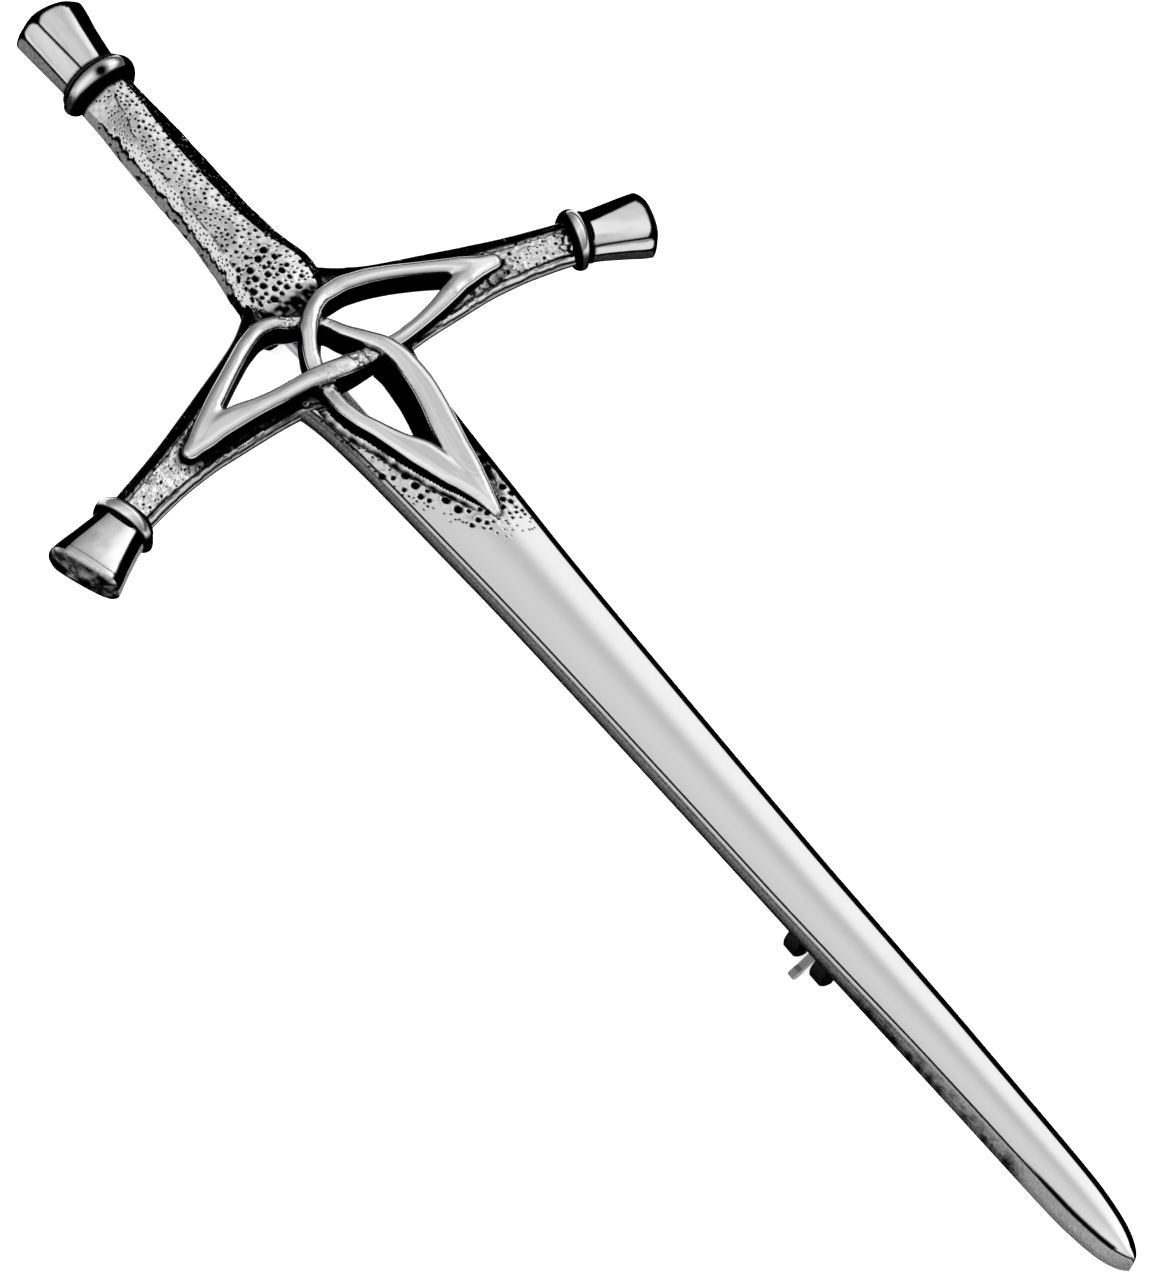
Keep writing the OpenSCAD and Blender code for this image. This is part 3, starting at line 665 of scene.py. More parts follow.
def section_rings(corners, counts, stains_and_shades, grooves=(), bow=0.06):
    """Rings through faceted sections and their patina and painted shade.

    corners holds [across, up] for each station and corner. Each facet bows out by a parabola, and
    the ring moves inward at a corner by its groove times a bell curve of the distance along it.
    Gives y, z, the outward normal's two parts, the girth from the corner before the top facet and
    the patina and painted shade.
    """
    groove_width, full_groove = 0.08, 0.035
    facet = np.repeat(np.arange(len(counts)), counts)
    t = shares(counts)
    start, chord = corners[:, facet], np.diff(corners, axis=1)[:, facet]
    lift = bow * 4 * t * (1 - t)
    y = start[..., 0] + chord[..., 0] * t - chord[..., 1] * lift
    z = start[..., 1] + chord[..., 1] * t + chord[..., 0] * lift
    flat = np.linspace(0, 1, BACK_STEPS, endpoint=False)
    first, last = corners[:, :1], corners[:, -1:]
    y = np.concatenate([y, last[..., 0] + (first - last)[..., 0] * flat], 1)
    z = np.concatenate([z, last[..., 1] + (first - last)[..., 1] * flat], 1)
    dy, dz = (np.roll(w, -1, 1) - np.roll(w, 1, 1) for w in (y, z))
    size = np.maximum(np.hypot(dy, dz), 1e-6)
    steps = np.hypot(*(np.diff(w, axis=1, prepend=w[:, :1]) for w in (y, z)))
    girth = np.cumsum(steps, 1)
    at = np.concatenate([[0], np.cumsum(counts)])
    cut = np.zeros_like(y)
    for k, depth in zip(at, grooves):
        cut = cut + depth * bell(girth - girth[:, k:k + 1], groove_width)
    stain = np.append(np.array(stains_and_shades)[facet], np.full(BACK_STEPS, BACK_OXIDE))
    stain = np.maximum(stain, np.clip(cut / full_groove, 0, 1) ** 0.8 * 0.97)
    ny, nz = -dz / size, dy / size
    return y - ny * cut, z - nz * cut, ny, nz, girth - girth[:, at[3]:at[3] + 1], stain


def flared_body(length, neck, end, grooves, stains_and_shades, rim, line, seed, setback, lean, neck_shade):
    """A pommel or arm end in its own frame: x along, y across, z up.

    The section goes from neck to end by an eased curve along x. From the shoulder on it shrinks
    toward its middle by rho while x moves on by a superellipse of rho. Past rim times the length
    the edge is painted dark as shade, later in the middle of each facet. Where line is given, it is
    the share of the length at which a painted black line runs across, and the face past the
    shoulder is painted mottled grey shade instead. The end's corners stand back by setback times the
    square of y, counted from lean times the half width. The neck is painted black as shade up to
    the x that the last argument gives, and soft painted clouds shade the facets.
    """
    neck, end = np.array(neck), np.array(end)
    shoulder, body, cap = 0.88, 58, 22
    rho = np.concatenate([np.ones(body), 1 - np.linspace(0.015, 0.98, cap) ** 1.5])
    along = np.concatenate([np.linspace(-0.1, 0.86, body - 2), [0.87, shoulder],
                            shoulder + (1 - shoulder) * (1 - rho[body:] ** 2.6) ** 0.6])
    rho, share = rho[:, None], along[:, None]
    grow = smooth(along, (-0.1, 0.15, 0.5, 0.8, shoulder, 1.0), (0, 0.12, 0.56, 0.98, 1.04, 1.04))
    corners = neck + (end - neck) * grow[:, None, None]
    middle = np.array([(end[1, 0] + end[-2, 0]) / 2, end[:, 1].max() * 0.46])
    corners = middle + (corners - middle) * rho[..., None]
    counts = [4] + [14] * (len(neck) - 3) + [4]
    y, z, ny, nz, girth, stain = section_rings(corners, counts, stains_and_shades, grooves)
    corner = (y / np.abs(end[:, 0]).max() - lean) / (1 + abs(lean))
    x = share * length - setback * ease(0.5, 1, share) * corner ** 2
    cloud = noise(x / 2.5, girth, 0.55, seed) * 0.7 + noise(x / 2, girth, 0.3, seed + 1) * 0.3
    y, z = y + ny * 0.02 * cloud, z + nz * 0.02 * cloud
    face = 0.76 + 0.14 * noise(y, z, 0.9, seed + 2) + 0.12 * noise(y, z, 0.25, seed + 3)
    # Soft grey clouds painted on the facets as shading, and the painted black line across.
    stain = darkest(stain, 0.3 * ease(0.0, 0.8, cloud), line * bell(share - line, 0.012))
    if line:
        # Past the shoulder the face is painted mottled grey shade, darker low down.
        strip = np.minimum(face, 0.3 + 4 * (1 - rho) + 2 * ease(1.9, 1.3, z))
        stain = np.where(rho < 0.999, strip, stain)
    else:
        # Past the rim the end's edge is painted dark as shade.
        reach = rim - 0.1 * (2 * np.append(shares(counts), np.full(BACK_STEPS, 0.5)) - 1) ** 4
        dark = np.where(rho < 0.93, face, 0.93) * ease(reach - 0.02, reach + 0.03, share)
        stain = np.where(z > 0.5, np.maximum(stain, dark), stain)
    # The neck by the collar is painted black as shade.
    stain = np.maximum(stain, 0.95 * bell(np.maximum(x - neck_shade, 0), 0.22))
    return np.stack([x, y, np.maximum(z, 0)], -1), stain


def ring_body(half, tall, bead, at, low, shift, split_highlight=False, least=0.0, black=0.42):
    """A collar: a circle of the bead's size carried round a flattened oval, cut off at the back.

    Its flanks and its ends are painted dark as dark reflections, the far one from the share black of
    the half width on, and a lens of clean metal stays for the highlight. It is painted no lighter than
    least, as shade. A dark spot painted near its middle, when asked for, splits the highlight in two,
    and shift moves the ring across.
    """
    turn = np.linspace(0, 2 * np.pi, 120, endpoint=False)
    around = np.linspace(0, 2 * np.pi, 36, endpoint=False)
    t, p = np.meshgrid(turn, around, indexing="ij")
    c, s = np.cos(t), np.sin(t)
    length = np.hypot(c / half, s / tall)
    y = half * np.sign(c) * np.abs(c) ** 0.9 + c / half / length * bead * np.cos(p)
    z = low + tall * np.sign(s) * np.abs(s) ** 0.9 + s / tall / length * bead * np.cos(p)
    # Painted dark reflections on the flanks and ends, leaving a lens of clean metal for the highlight.
    lens = 0.66 + 0.22 * c ** 2
    oxide_and_shade = darkest(
        0.97 * (1 - ease(lens, lens + 0.25, np.cos(p - 0.15))),
        0.97 * ease(black, black + 0.2, c),
        0.75 * ease(0.72, 0.94, -c), least)
    # A painted dark spot that splits the highlight in two.
    if split_highlight:
        dark_spot = np.hypot((c + 0.1) * half, 0.8 * (np.sin(p) - 0.35) * bead)
        oxide_and_shade = np.maximum(oxide_and_shade, (s > 0) * bell(dark_spot, 0.33))
    return np.stack([at + bead * np.sin(p), y + shift, np.maximum(z, 0.0)], -1), oxide_and_shade


def turned(points, angle, at):
    """Points of a body's own frame turned about z by the angle in degrees and moved."""
    c, s = math.cos(math.radians(angle)), math.sin(math.radians(angle))
    x, y, z = np.moveaxis(points, -1, 0)
    return np.stack([at[0] + x * c - y * s, at[1] + x * s + y * c, z], -1)


def grip_spots():
    """Pits of the grip [along, girth, radius]: large ones by the knot, then small ones between them."""
    face = np.array(GRIP_ACROSS[4]) - GRIP_ACROSS[3]

    def large_size(x, g, share):
        return 0.15 + 0.16 * share if x + 0.25 * g > 21.4 and g < 3.6 - 0.4 * (24.4 - x) else 0

    def small_size(x, g, share):
        beside = np.hypot(large[:, 0] - x, large[:, 1] - g) < 1.15 * large[:, 2] + 0.08
        if beside.any() or g < -1.1 or g > smooth(x, GRIP_X, face):
            return 0
        return 0.06 + 0.035 * share if g < 0 else 0.08 + 0.06 * share ** 2

    large = scatter(500, (20.9, -0.5), (24.35, 3.6), large_size, 60, 1.14)
    return np.vstack([large, scatter(2600, (7.0, -1.15), (24.3, 4.4), small_size, 61, 1.45)])


def grip_surface(height):
    """Rings of the grip with their patina and painted shade: faceted sections with cast pits.

    On the near facet a ragged black groove runs along the edge of the strip before the top. By its
    wall the metal is mottled, and at the strip's corner lies a worn crease. The far bevel is painted
    black as a dark reflection, with clean flecks, and the end by the knot is dark. The facets carry
    painted shade by their side, soft painted grey streaks, and a painted shadow under the pommel's collar.
    """
    along = np.arange(5.6, 25.36, 0.055)
    tall = height * smooth(along, GRIP_HEIGHT_X, GRIP_HEIGHT)
    across = np.stack([smooth(along, GRIP_X, row) for row in GRIP_ACROSS], -1)
    corners = np.stack([across, tall[:, None] * np.array(GRIP_UP)], -1)
    y, z, ny, nz, girth, oxide_and_shade = section_rings(corners, GRIP_COUNTS, GRIP_FACET_SHADE, bow=0.03)
    x = np.broadcast_to(along[:, None], y.shape)
    wobble = [0.03 * noise(x, girth, 0.1, seed) for seed in (69, 70)]
    pit, stain = pits(x + wobble[0], girth + wobble[1], grip_spots())
    rough = noise(x, girth, 0.3, 62) * 0.4 + noise(x, girth, 0.9, 63) * 0.6
    ragged = 0.16 * noise(x, 0, 0.35, 64) + 0.12 * noise(x, 0, 0.15, 65)
    line = girth - girth[:, STRIP_START:STRIP_START + 1] + ragged
    black = bell(line, 0.2 + 0.12 * noise(x, girth, 0.25, 71)) * ease(7.3, 8.5, x) * (1 - ease(21.5, 23, x))
    wall = bell(line + 0.5, 0.45) * ease(0.1, 0.6, noise(x, girth, 0.4, 74) + 0.5 * noise(x, girth, 0.15, 75))
    by_knot = (line < 0.1) * ease(20.5, 22.5, x + rough) * (0.9 + 0.4 * rough)
    crease = bell(girth + 0.12 * noise(x, 0, 0.6, 72), 0.07)
    crease = crease * ease(-0.5, 0.4, noise(x, girth, 0.5, 73) + 0.2)
    flecks = 0.6 * ease(0.66, 0.78, noise(x, girth, 0.13, 66))
    # The far bevel's painted dark reflection, broken by clean flecks.
    oxide_and_shade = np.where(oxide_and_shade == BEVEL_DARK_REFLECTION, BEVEL_DARK_REFLECTION * (1 - flecks), oxide_and_shade)
    raised = z > 0.2
    # The soft grey streaks on the raised facets are painted shading.
    worn = darkest(
        stain, 0.97 * black, 0.85 * wall, 0.8 * by_knot, 0.85 * crease,
        ease(23.8, 24.8, x + 0.4 * rough) * (0.78 + 0.4 * noise(x, girth, 0.25, 67)),
        0.32 * ease(0.1, 0.9, noise(x / 2, girth, 0.7, 68) + 0.3 * rough))
    # Painted shadow where the grip starts under the pommel's collar.
    oxide_and_shade = darkest(oxide_and_shade, np.where(raised, worn, 0), 0.97 * bell(np.maximum(x - 6.75, 0), 0.3))
    push = np.where(raised, pit + 0.035 * rough - 0.09 * black - 0.04 * crease, 0)
    return np.stack([x, y + ny * push, np.maximum(z + nz * push, 0)], -1), np.clip(oxide_and_shade, 0, 1)


# Joint and clasp

# Painted shade on the soldered findings, which lie in shadow under the casting
FINDING_SHADE = 0.9


def barrel_part(name, x0, x1, end, gap, inner, outer):
    """A ring of the clasp's barrel from its mouth to the angle end, its outer edges rounded off."""
    soft = 0.1
    angle, radius = np.meshgrid(np.radians(np.linspace(-90 + gap, end, 61)), np.linspace(inner, outer, 9),
                                indexing="ij")
    depth = np.clip(radius - (outer - soft), 0, soft) / soft
    step = soft * (1 - np.sqrt(np.clip(1 - depth ** 2, 0, 1)))
    y, z = radius * np.cos(angle), radius * np.sin(angle) - PIN_DROP
    layers = [np.stack([x, y, z], -1) for x in (x1 - step, x0 + step)]
    plate(name, layers, (FINDING_SHADE,) * 2, np.ones((60, 8), bool), "clasp_metal")


def block(lo, hi):
    """Rings of a block with rounded edges: a ball's grid pushed out toward the block's faces."""
    lo, hi = np.array(lo), np.array(hi)
    p, t = np.meshgrid(np.linspace(-np.pi / 2, np.pi / 2, 21)[1:-1],
                       np.linspace(0, 2 * np.pi, 40, endpoint=False), indexing="ij")
    ball = np.stack([np.cos(p) * np.cos(t), np.cos(p) * np.sin(t), np.sin(p)], -1)
    return (lo + hi) / 2 + np.sign(ball) * np.abs(ball) ** 0.12 * (hi - lo) / 2


def ear_rings(side, inner, thick, radius):
    """Rings of one ear of the joint: its outline moved across, smaller at both faces."""
    t = np.linspace(0, np.pi, 33)
    root = 0.2
    rim = np.concatenate([np.stack([-radius * np.cos(t), -radius * np.sin(t) - PIN_DROP], -1),
                          [[x, root] for x in (radius, 0.5, -0.5, -radius)]])
    middle = np.array([0, -PIN_DROP / 2 - 0.3])
    soft = ((0.9, 0), (0.97, 0.02), (1, 0.09), (1, thick - 0.09), (0.97, thick - 0.02), (0.9, thick))
    rings = []
    for share, off in soft:
        x, z = ((rim - middle) * share + middle).T
        rings.append(np.stack([x + RIVET_X, np.full_like(x, side * (inner + off)), z], -1))
    return np.stack(rings)


# Materials


def linear(hex_colour):
    """sRGB hex to linear RGBA."""
    srgb = [int(hex_colour[k:k + 2], 16) / 255 for k in (0, 2, 4)]
    return [v / 12.92 if v <= 0.04045 else ((v + 0.055) / 1.055) ** 2.4 for v in srgb] + [1]


def add(tree, kind, sockets=None, out=0, **settings):
    """Adds a shader node, sets its settings, fills or links its sockets and gives one output."""
    made = tree.nodes.new("ShaderNode" + kind)
    for key, value in settings.items():
        setattr(made, key, value)
    for key, value in (sockets or {}).items():
        if isinstance(value, bpy.types.NodeSocket):
            tree.links.new(value, made.inputs[key])
        else:
            made.inputs[key].default_value = value
    return made.outputs[out] if made.outputs else None


def per_mm(size):
    """Scale of a noise texture on object coordinates in metres whose features measure size mm."""
    return 1 / (size * MM)


def metal(name, clean, dark, polish, dull, grain_mm, bump):
    """A metal with its patina and painted shade: the attribute says where they lie, and grain breaks their
    edge up.

    The mark darkens the colour and both ends of the reflection, so it stays black at any angle, and
    takes the shine away. Slow clouds vary the polish, and the grain gives a faint relief.
    """
    found = bpy.data.materials.get(name)
    if found:
        return found
    material = bpy.data.materials.new(name)
    material.use_nodes = True
    tree = material.node_tree
    tree.nodes.clear()
    place = add(tree, "TexCoord", out="Object")
    grain = add(tree, "TexNoise", {"Vector": place, "Scale": per_mm(grain_mm), "Detail": 3.0})
    cloud = add(tree, "TexNoise", {"Vector": place, "Scale": per_mm(2.5), "Detail": 2.0})
    # Painted shade and painted dark reflections come in through this attribute together with the patina.
    oxide_and_shade = add(tree, "Attribute", out="Fac", attribute_name="oxide_and_shade")
    broken = add(tree, "Math", {0: grain, 1: 0.3, 2: -0.15}, operation="MULTIPLY_ADD")
    near = add(tree, "Math", {0: oxide_and_shade, 1: broken}, operation="ADD")
    stain = add(tree, "MapRange", {"Value": near, "From Min": 0.12, "From Max": 0.85},
                interpolation_type="SMOOTHSTEP")
    colour = add(tree, "Mix", {"Factor": stain, 6: linear(clean), 7: linear(dark)}, 2, data_type="RGBA")
    edge = add(tree, "Mix", {"Factor": stain, 6: (1, 1, 1, 1), 7: (0, 0, 0, 1)}, 2, data_type="RGBA")
    shine = add(tree, "MapRange", {"Value": cloud, "To Min": polish * 0.85, "To Max": polish * 1.15})
    rough = add(tree, "Mix", {"Factor": stain, 2: shine, 3: dull}, data_type="FLOAT")
    relief = add(tree, "Bump", {"Height": grain, "Strength": bump, "Distance": 0.02 * MM})
    shader = add(tree, "BsdfPrincipled", {
        "Base Color": colour, "Metallic": 1.0, "Roughness": rough, "Specular Tint": edge, "Normal": relief})
    add(tree, "OutputMaterial", {"Surface": shader})
    return material


def pewter():
    """Cast pewter, blackened in a bath and then buffed on a wheel.

    The eye sees soft bright bands on all that the wheel reached and dense black in each recess. The same
    black is also painted as shade on walls and as dark reflections on bevels and collars.
    """
    look = bpy.context.scene.kilt_pin_finish
    return metal("pewter_cast_blackened_buffed", look.pewter, look.oxide_and_shade, look.polish, 0.5, 0.12, 0.12)


def finding_metal():
    """Nickel-plated brass, tumbled and dulled by the soldering, with a blurred sheen; its colour is painted
    dark for the shade it lies in under the casting.
    """
    finding = bpy.context.scene.kilt_pin_finish.finding
    return metal("nickel_plated_brass_tumbled", finding, "141414", 0.26, 0.5, 0.3, 0.1)


def wire_steel():
    """Drawn spring-steel wire, nickel-plated: long narrow lights, smoother than the casting."""
    return metal("steel_wire_nickel_plated", "8F9093", "2A2A2A", 0.18, 0.4, 0.35, 0.05)


def paper(colour):
    """Matt white paper, lit a little by itself: it stays pale, with faint shadows and no gloss."""
    material = bpy.data.materials.new("paper_matt_white")
    material.use_nodes = True
    inputs = material.node_tree.nodes["Principled BSDF"].inputs
    for name, value in (("Base Color", linear(colour)), ("Roughness", 1.0), ("Specular IOR Level", 0.0),
                        ("Emission Color", (1, 1, 1, 1)), ("Emission Strength", 0.6)):
        inputs[name].default_value = value
    return material


# Which metal a piece of each slot gets
METALS = {"pewter": pewter, "rivet_steel": finding_metal, "clasp_metal": finding_metal}


# Light tent

# Its light over the table: [angle from +Y over the zenith in degrees, radiance]
DOME = ((-20, 0.2), (8, 0.12), (20, 0.25), (31, 1.9), (38, 2.5), (51, 2.5), (55, 2.2), (58.5, 1.5), (62, 1.3),
        (66, 1.5), (71, 1.75), (80, 1.82), (92, 1.6), (110, 1.85), (150, 2.0), (170, 1.8), (185, 1.1),
        (200, 1.0))
# Factor on it along X: [X of the direction, factor]
TENT_ENDS = ((-1, 0.25), (-0.8, 0.32), (-0.58, 0.55), (-0.42, 0.85), (-0.303, 1.0), (-0.17, 0.94),
             (-0.05, 1.1), (0.1, 1.3), (0.35, 0.95), (0.6, 0.85), (0.85, 0.5), (1, 0.3))


def ramp(tree, value, rows):
    """A colour ramp over rows [value, level], and the greatest level, which stands for white."""
    lo, hi = rows[0][0], rows[-1][0]
    peak = max(level for _, level in rows)
    share = add(tree, "MapRange", {"Value": value, "From Min": lo, "From Max": hi})
    colour = add(tree, "ValToRGB", {0: share})
    stops = colour.node.color_ramp.elements
    while len(stops) < len(rows):
        stops.new(0.5)
    for stop, (at, _) in zip(stops, rows):
        stop.position = (at - lo) / (hi - lo)
    for stop, (_, level) in zip(stops, rows):
        stop.color = (*[level / peak] * 3, 1)
    return colour, peak


def tent():
    """Soft light tent: its radiance goes by the angle round the X axis and by the direction's X."""
    world = bpy.data.worlds.new("light_tent")
    world.use_nodes = True
    tree = world.node_tree
    tree.nodes.clear()
    way = add(tree, "SeparateXYZ", {0: add(tree, "TexCoord", out="Generated")}).node.outputs
    angle = add(tree, "Math", {0: way["Z"], 1: way["Y"]}, operation="ARCTAN2")
    colour, peak = ramp(tree, angle, [(math.radians(at), level) for at, level in DOME])
    ends, end_peak = ramp(tree, way["X"], TENT_ENDS)
    strength = add(tree, "Math", {0: ends, 1: peak * end_peak}, operation="MULTIPLY")
    add(tree, "OutputWorld", {"Surface": add(tree, "Background", {"Color": colour, "Strength": strength})})
    return world
# Settings

# The camera's place in metres and its lens, both found by matching outlines with the photograph's
CAMERA_AT = (0.108825, -0.141506, 0.309902)
LENS = 173.155


class KiltPinSizes(bpy.types.PropertyGroup):
    pommel_length: bpy.props.FloatProperty(
        name="Pommel length", description="From the pommel's end to its collar", default=0.00595,
        unit="LENGTH", subtype="DISTANCE")
    pommel_height: bpy.props.FloatProperty(
        name="Pommel height", description="Over the flat back", default=0.0024, unit="LENGTH",
        subtype="DISTANCE")
    grip_height: bpy.props.FloatProperty(
        name="Grip height", description="Over the flat back", default=0.0023, unit="LENGTH",
        subtype="DISTANCE")
    arm_end_length: bpy.props.FloatProperty(
        name="Arm end length", description="From the collar to the end", default=0.0049, unit="LENGTH",
        subtype="DISTANCE")
    arm_sweep: bpy.props.FloatProperty(
        name="Arm sweep", description="How far the arm ends turn toward the blade",
        default=math.radians(16), unit="ROTATION", subtype="ANGLE")


class KiltPinFinish(bpy.types.PropertyGroup):
    pewter: bpy.props.StringProperty(
        name="Pewter", description="Colour of the buffed pewter, sRGB hex", default="A3A3A3")
    # This black serves the patina and also the painted shade, painted shadows and painted dark reflections.
    oxide_and_shade: bpy.props.StringProperty(
        name="Oxide", description="Colour of the black left in the recesses, sRGB hex", default="030303")
    # Dark, to paint the shade the joint and the clasp lie in under the casting.
    finding: bpy.props.StringProperty(
        name="Findings", description="Colour of the joint and the clasp, sRGB hex", default="5A5A59")
    polish: bpy.props.FloatProperty(
        name="Polish", description="Roughness of the buffed pewter", default=0.17, min=0.02, max=0.6,
        subtype="FACTOR")


class KiltPinStudio(bpy.types.PropertyGroup):
    azimuth: bpy.props.FloatProperty(
        name="Azimuth", description="Camera round the object", default=math.radians(37.132),
        unit="ROTATION", subtype="ANGLE")
    elevation: bpy.props.FloatProperty(
        name="Elevation", description="Camera above the floor", default=math.radians(59.868),
        unit="ROTATION", subtype="ANGLE")
    camera_roll: bpy.props.FloatProperty(
        name="Camera roll", description="Turn of the camera about its view", default=math.radians(15.502),
        unit="ROTATION", subtype="ANGLE")
    floor: bpy.props.StringProperty(
        name="Floor", description="Colour of the paper, sRGB hex", default="F7F7F7")


def mm(length):
    """A length property in millimetres."""
    return length / MM


# Operators


class KILTPIN_OT_blade(bpy.types.Operator):
    """Builds the blade with its bevels and its pitted base"""
    bl_idname = "kilt_pin.blade"
    bl_label = "Blade"

    def execute(self, context):
        plate("blade", *blade_surface())
        return {"FINISHED"}


class KILTPIN_OT_cross(bpy.types.Operator):
    """Builds the two arms with their rims and pitted ground"""
    bl_idname = "kilt_pin.cross"
    bl_label = "Arms"

    def execute(self, context):
        plate("arm_far", *arm_surface(1))
        plate("arm_near", *arm_surface(-1))
        return {"FINISHED"}


class KILTPIN_OT_knot(bpy.types.Operator):
    """Builds the pierced knot of three strands"""
    bl_idname = "kilt_pin.knot"
    bl_label = "Knot"

    def execute(self, context):
        plate("knot", *knot_surface(), sharp=60)
        return {"FINISHED"}


class KILTPIN_OT_grip(bpy.types.Operator):
    """Builds the faceted grip with its cast pits"""
    bl_idname = "kilt_pin.grip"
    bl_label = "Grip"

    def execute(self, context):
        tube("grip", *grip_surface(mm(context.scene.kilt_pin_sizes.grip_height)))
        return {"FINISHED"}


class KILTPIN_OT_pommel(bpy.types.Operator):
    """Builds the flared pommel and its collar"""
    bl_idname = "kilt_pin.pommel"
    bl_label = "Pommel"

    def execute(self, context):
        sizes = context.scene.kilt_pin_sizes
        length, tall = mm(sizes.pommel_length), mm(sizes.pommel_height) * 0.86
        low, shift = 0.28, 0.18
        rings, oxide_and_shade = flared_body(length, **FLARED["pommel"])
        tube("pommel", rings * [-1, 1, 1] + [length, 0, 0], oxide_and_shade)
        loop("pommel_collar", *ring_body(1.82, tall, 0.68, 5.95, low, shift, split_highlight=True))
        # The thin ring by the pommel is painted dark as shade between the parts.
        loop("pommel_collar_edge", *ring_body(1.9, tall, 0.3, 5.35, low, shift, least=0.75))
        return {"FINISHED"}


class KILTPIN_OT_arm_ends(bpy.types.Operator):
    """Builds the flared arm ends and their collars"""
    bl_idname = "kilt_pin.arm_ends"
    bl_label = "Arm ends"

    def execute(self, context):
        sizes = context.scene.kilt_pin_sizes
        length, tall = mm(sizes.arm_end_length), mm(sizes.pommel_height) * 0.8
        end_x, end_y, low, shift = 30.62, 16.9, 0.25, 0.12
        # black: where the far end of each collar turns to a painted dark reflection.
        for name, side, half, black in (("far", 1, 1.314, 0.42), ("near", -1, 1.4892, 0.75)):
            angle, at = side * (90 - math.degrees(sizes.arm_sweep)), (end_x, side * end_y)
            rings, oxide_and_shade = flared_body(length, **FLARED["arm_end_" + name])
            tube("arm_end_" + name, turned(rings, angle, at), oxide_and_shade)
            # The thin ring by each arm end is painted dark as shade between the parts.
            for part, bead, along, least in (("collar_", 0.54, 0.02 - 0.1 * side, 0),
                                             ("collar_edge_", 0.24, 0.62, 0.85)):
                rings, oxide_and_shade = ring_body(half, tall, bead, along, low, shift, False, least, black)
                loop("arm_" + part + name, turned(rings, angle, at), oxide_and_shade)
        return {"FINISHED"}


class KILTPIN_OT_findings(bpy.types.Operator):
    """Builds the ears of the pin's joint and the barrel of the clasp, soldered to the back"""
    bl_idname = "kilt_pin.findings"
    bl_label = "Joint and clasp"

    def execute(self, context):
        sleeve, play, outer, mouth = 0.9, 0.04, 1.7, 0.5
        half, slot, slot_end = 1.65, 0.65, 118
        gap = math.degrees(math.asin(mouth / outer))
        for k, (a, b, end) in enumerate(((-half, -slot, 270 - gap), (-slot, slot, slot_end),
                                         (slot, half, 270 - gap))):
            barrel_part(f"clasp_barrel_{k + 1}", CLASP_X + a, CLASP_X + b, end, gap, sleeve + play, outer)
        foot = block((CLASP_X - half, -1.05, -0.75), (CLASP_X + half, 1.05, 0.2))
        tube("clasp_foot", foot, FINDING_SHADE, "clasp_metal")
        for name, side in (("far", 1), ("near", -1)):
            tube("joint_ear_" + name, ear_rings(side, 0.65, 0.6, 1.7), FINDING_SHADE, "rivet_steel")
        return {"FINISHED"}


class KILTPIN_OT_pin(bpy.types.Operator):
    """Gives the pin, its rivet and the clasp's sleeve their metals"""
    bl_idname = "kilt_pin.pin"
    bl_label = "Pin and sleeve"

    def execute(self, context):
        for name, look in (("pin_stem", wire_steel), ("hinge_rivet", wire_steel),
                           ("catch_rotor", finding_metal)):
            mesh = frame["nodes"][name].data
            mesh.materials.clear()
            mesh.materials.append(look())
        return {"FINISHED"}


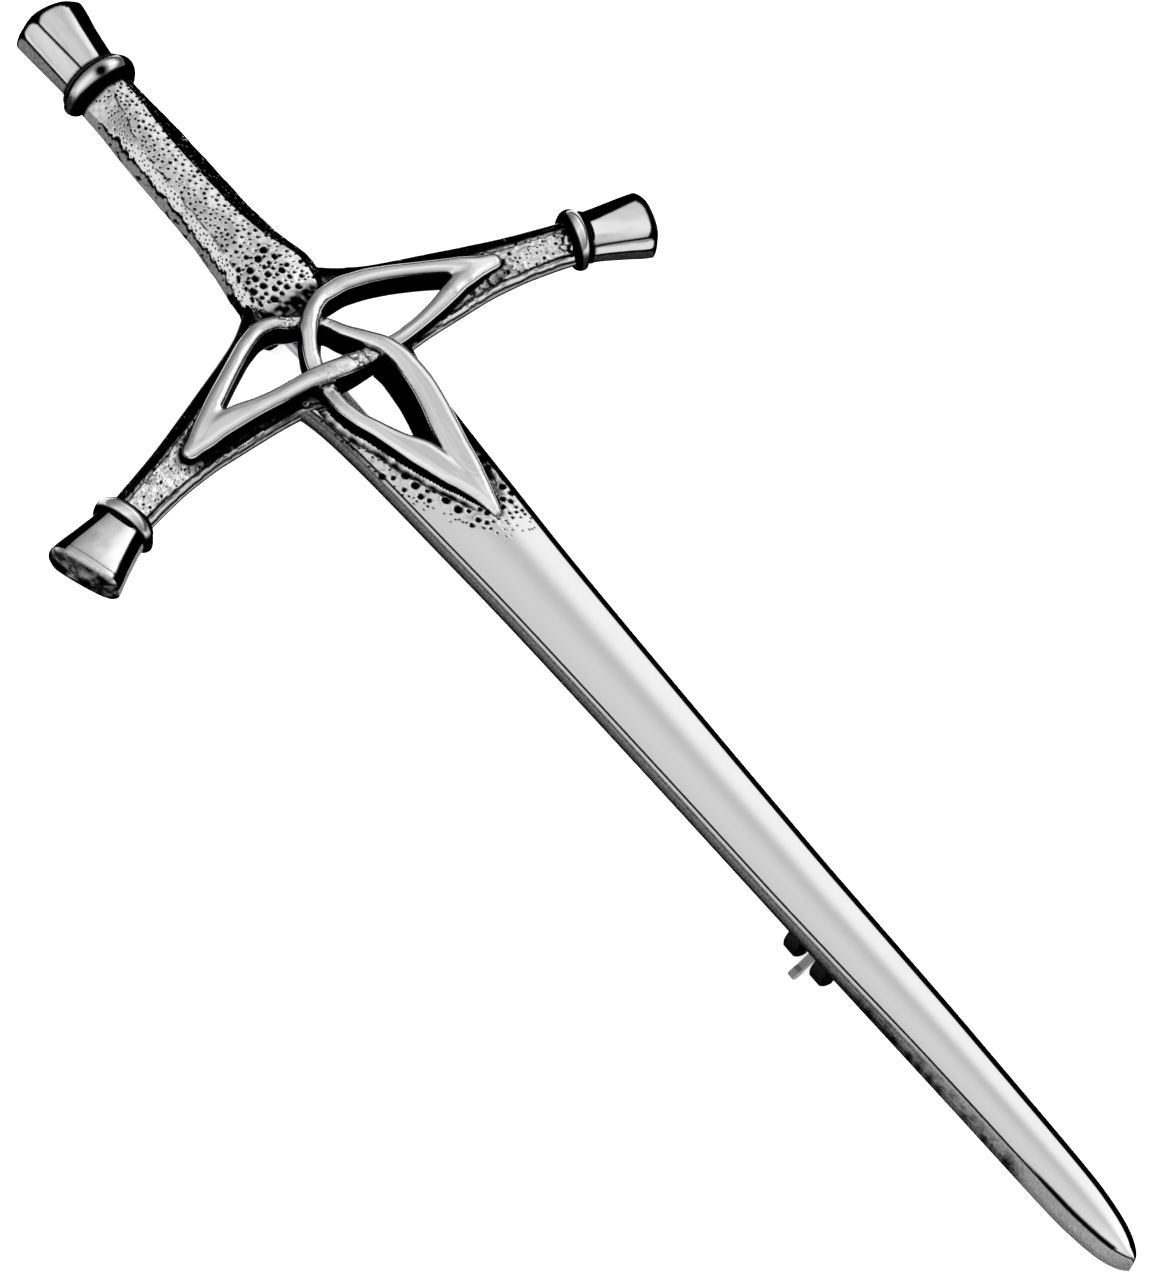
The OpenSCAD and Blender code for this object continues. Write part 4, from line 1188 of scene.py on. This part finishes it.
class KILTPIN_OT_studio(bpy.types.Operator):
    """Builds the pale floor, the light tent and the camera"""
    bl_idname = "kilt_pin.studio"
    bl_label = "Studio"

    def execute(self, context):
        scene, look = context.scene, context.scene.kilt_pin_studio
        n, half, drop = 15, 0.7, 0.00002
        u, v = np.meshgrid(np.linspace(-half, half, n), np.linspace(-half, half, n), indexing="ij")
        index = np.arange(n * n).reshape(n, n)
        faces = np.stack([index[:-1, :-1], index[1:, :-1], index[1:, 1:], index[:-1, 1:]], -1).reshape(-1, 4)
        points = np.stack([u, v, np.full_like(u, -drop)], -1).reshape(-1, 3)
        mesh = bpy.data.meshes.new("floor")
        mesh.from_pydata(points.tolist(), [], faces.tolist())
        mesh.materials.append(paper(look.floor))
        floor = bpy.data.objects.new("floor", mesh)
        scene.collection.objects.link(floor)
        scene.world = tent()
        data = bpy.data.cameras.new("camera")
        data.sensor_width, data.lens = 36, LENS
        data.clip_start, data.clip_end = 0.02, 10
        camera = bpy.data.objects.new("camera", data)
        camera.location = CAMERA_AT
        turn = Matrix.Rotation(look.azimuth, 3, "Z") @ Matrix.Rotation(math.pi / 2 - look.elevation, 3, "X")
        camera.rotation_euler = (turn @ Matrix.Rotation(look.camera_roll, 3, "Z")).to_euler()
        scene.collection.objects.link(camera)
        scene.camera = camera
        scene.view_settings.view_transform = "Standard"
        return {"FINISHED"}


class KILTPIN_PT_panel(bpy.types.Panel):
    """Lists the pieces of the kilt pin"""
    bl_idname = "KILTPIN_PT_panel"
    bl_label = "Kilt Pin"
    bl_space_type = "VIEW_3D"
    bl_region_type = "UI"
    bl_category = "Kilt Pin"

    def draw(self, context):
        for name, group in GROUPS.items():
            for setting in group.__annotations__:
                self.layout.prop(getattr(context.scene, name), setting)
        for operator in OPERATORS:
            self.layout.operator(operator.bl_idname)


OPERATORS = (KILTPIN_OT_studio, KILTPIN_OT_blade, KILTPIN_OT_cross, KILTPIN_OT_knot, KILTPIN_OT_grip,
             KILTPIN_OT_pommel, KILTPIN_OT_arm_ends, KILTPIN_OT_findings, KILTPIN_OT_pin)
GROUPS = {"kilt_pin_sizes": KiltPinSizes, "kilt_pin_finish": KiltPinFinish, "kilt_pin_studio": KiltPinStudio}


def register():
    for cls in (*GROUPS.values(), *OPERATORS, KILTPIN_PT_panel):
        bpy.utils.register_class(cls)
    for name, group in GROUPS.items():
        setattr(bpy.types.Scene, name, bpy.props.PointerProperty(type=group))


def unregister():
    for name in GROUPS:
        delattr(bpy.types.Scene, name)
    for cls in (KILTPIN_PT_panel, *reversed(OPERATORS), *reversed(list(GROUPS.values()))):
        bpy.utils.unregister_class(cls)


def main():
    register()
    for operator in OPERATORS:
        getattr(bpy.ops.kilt_pin, operator.bl_idname.split(".")[1])()


if __name__ == "__main__":
    main()
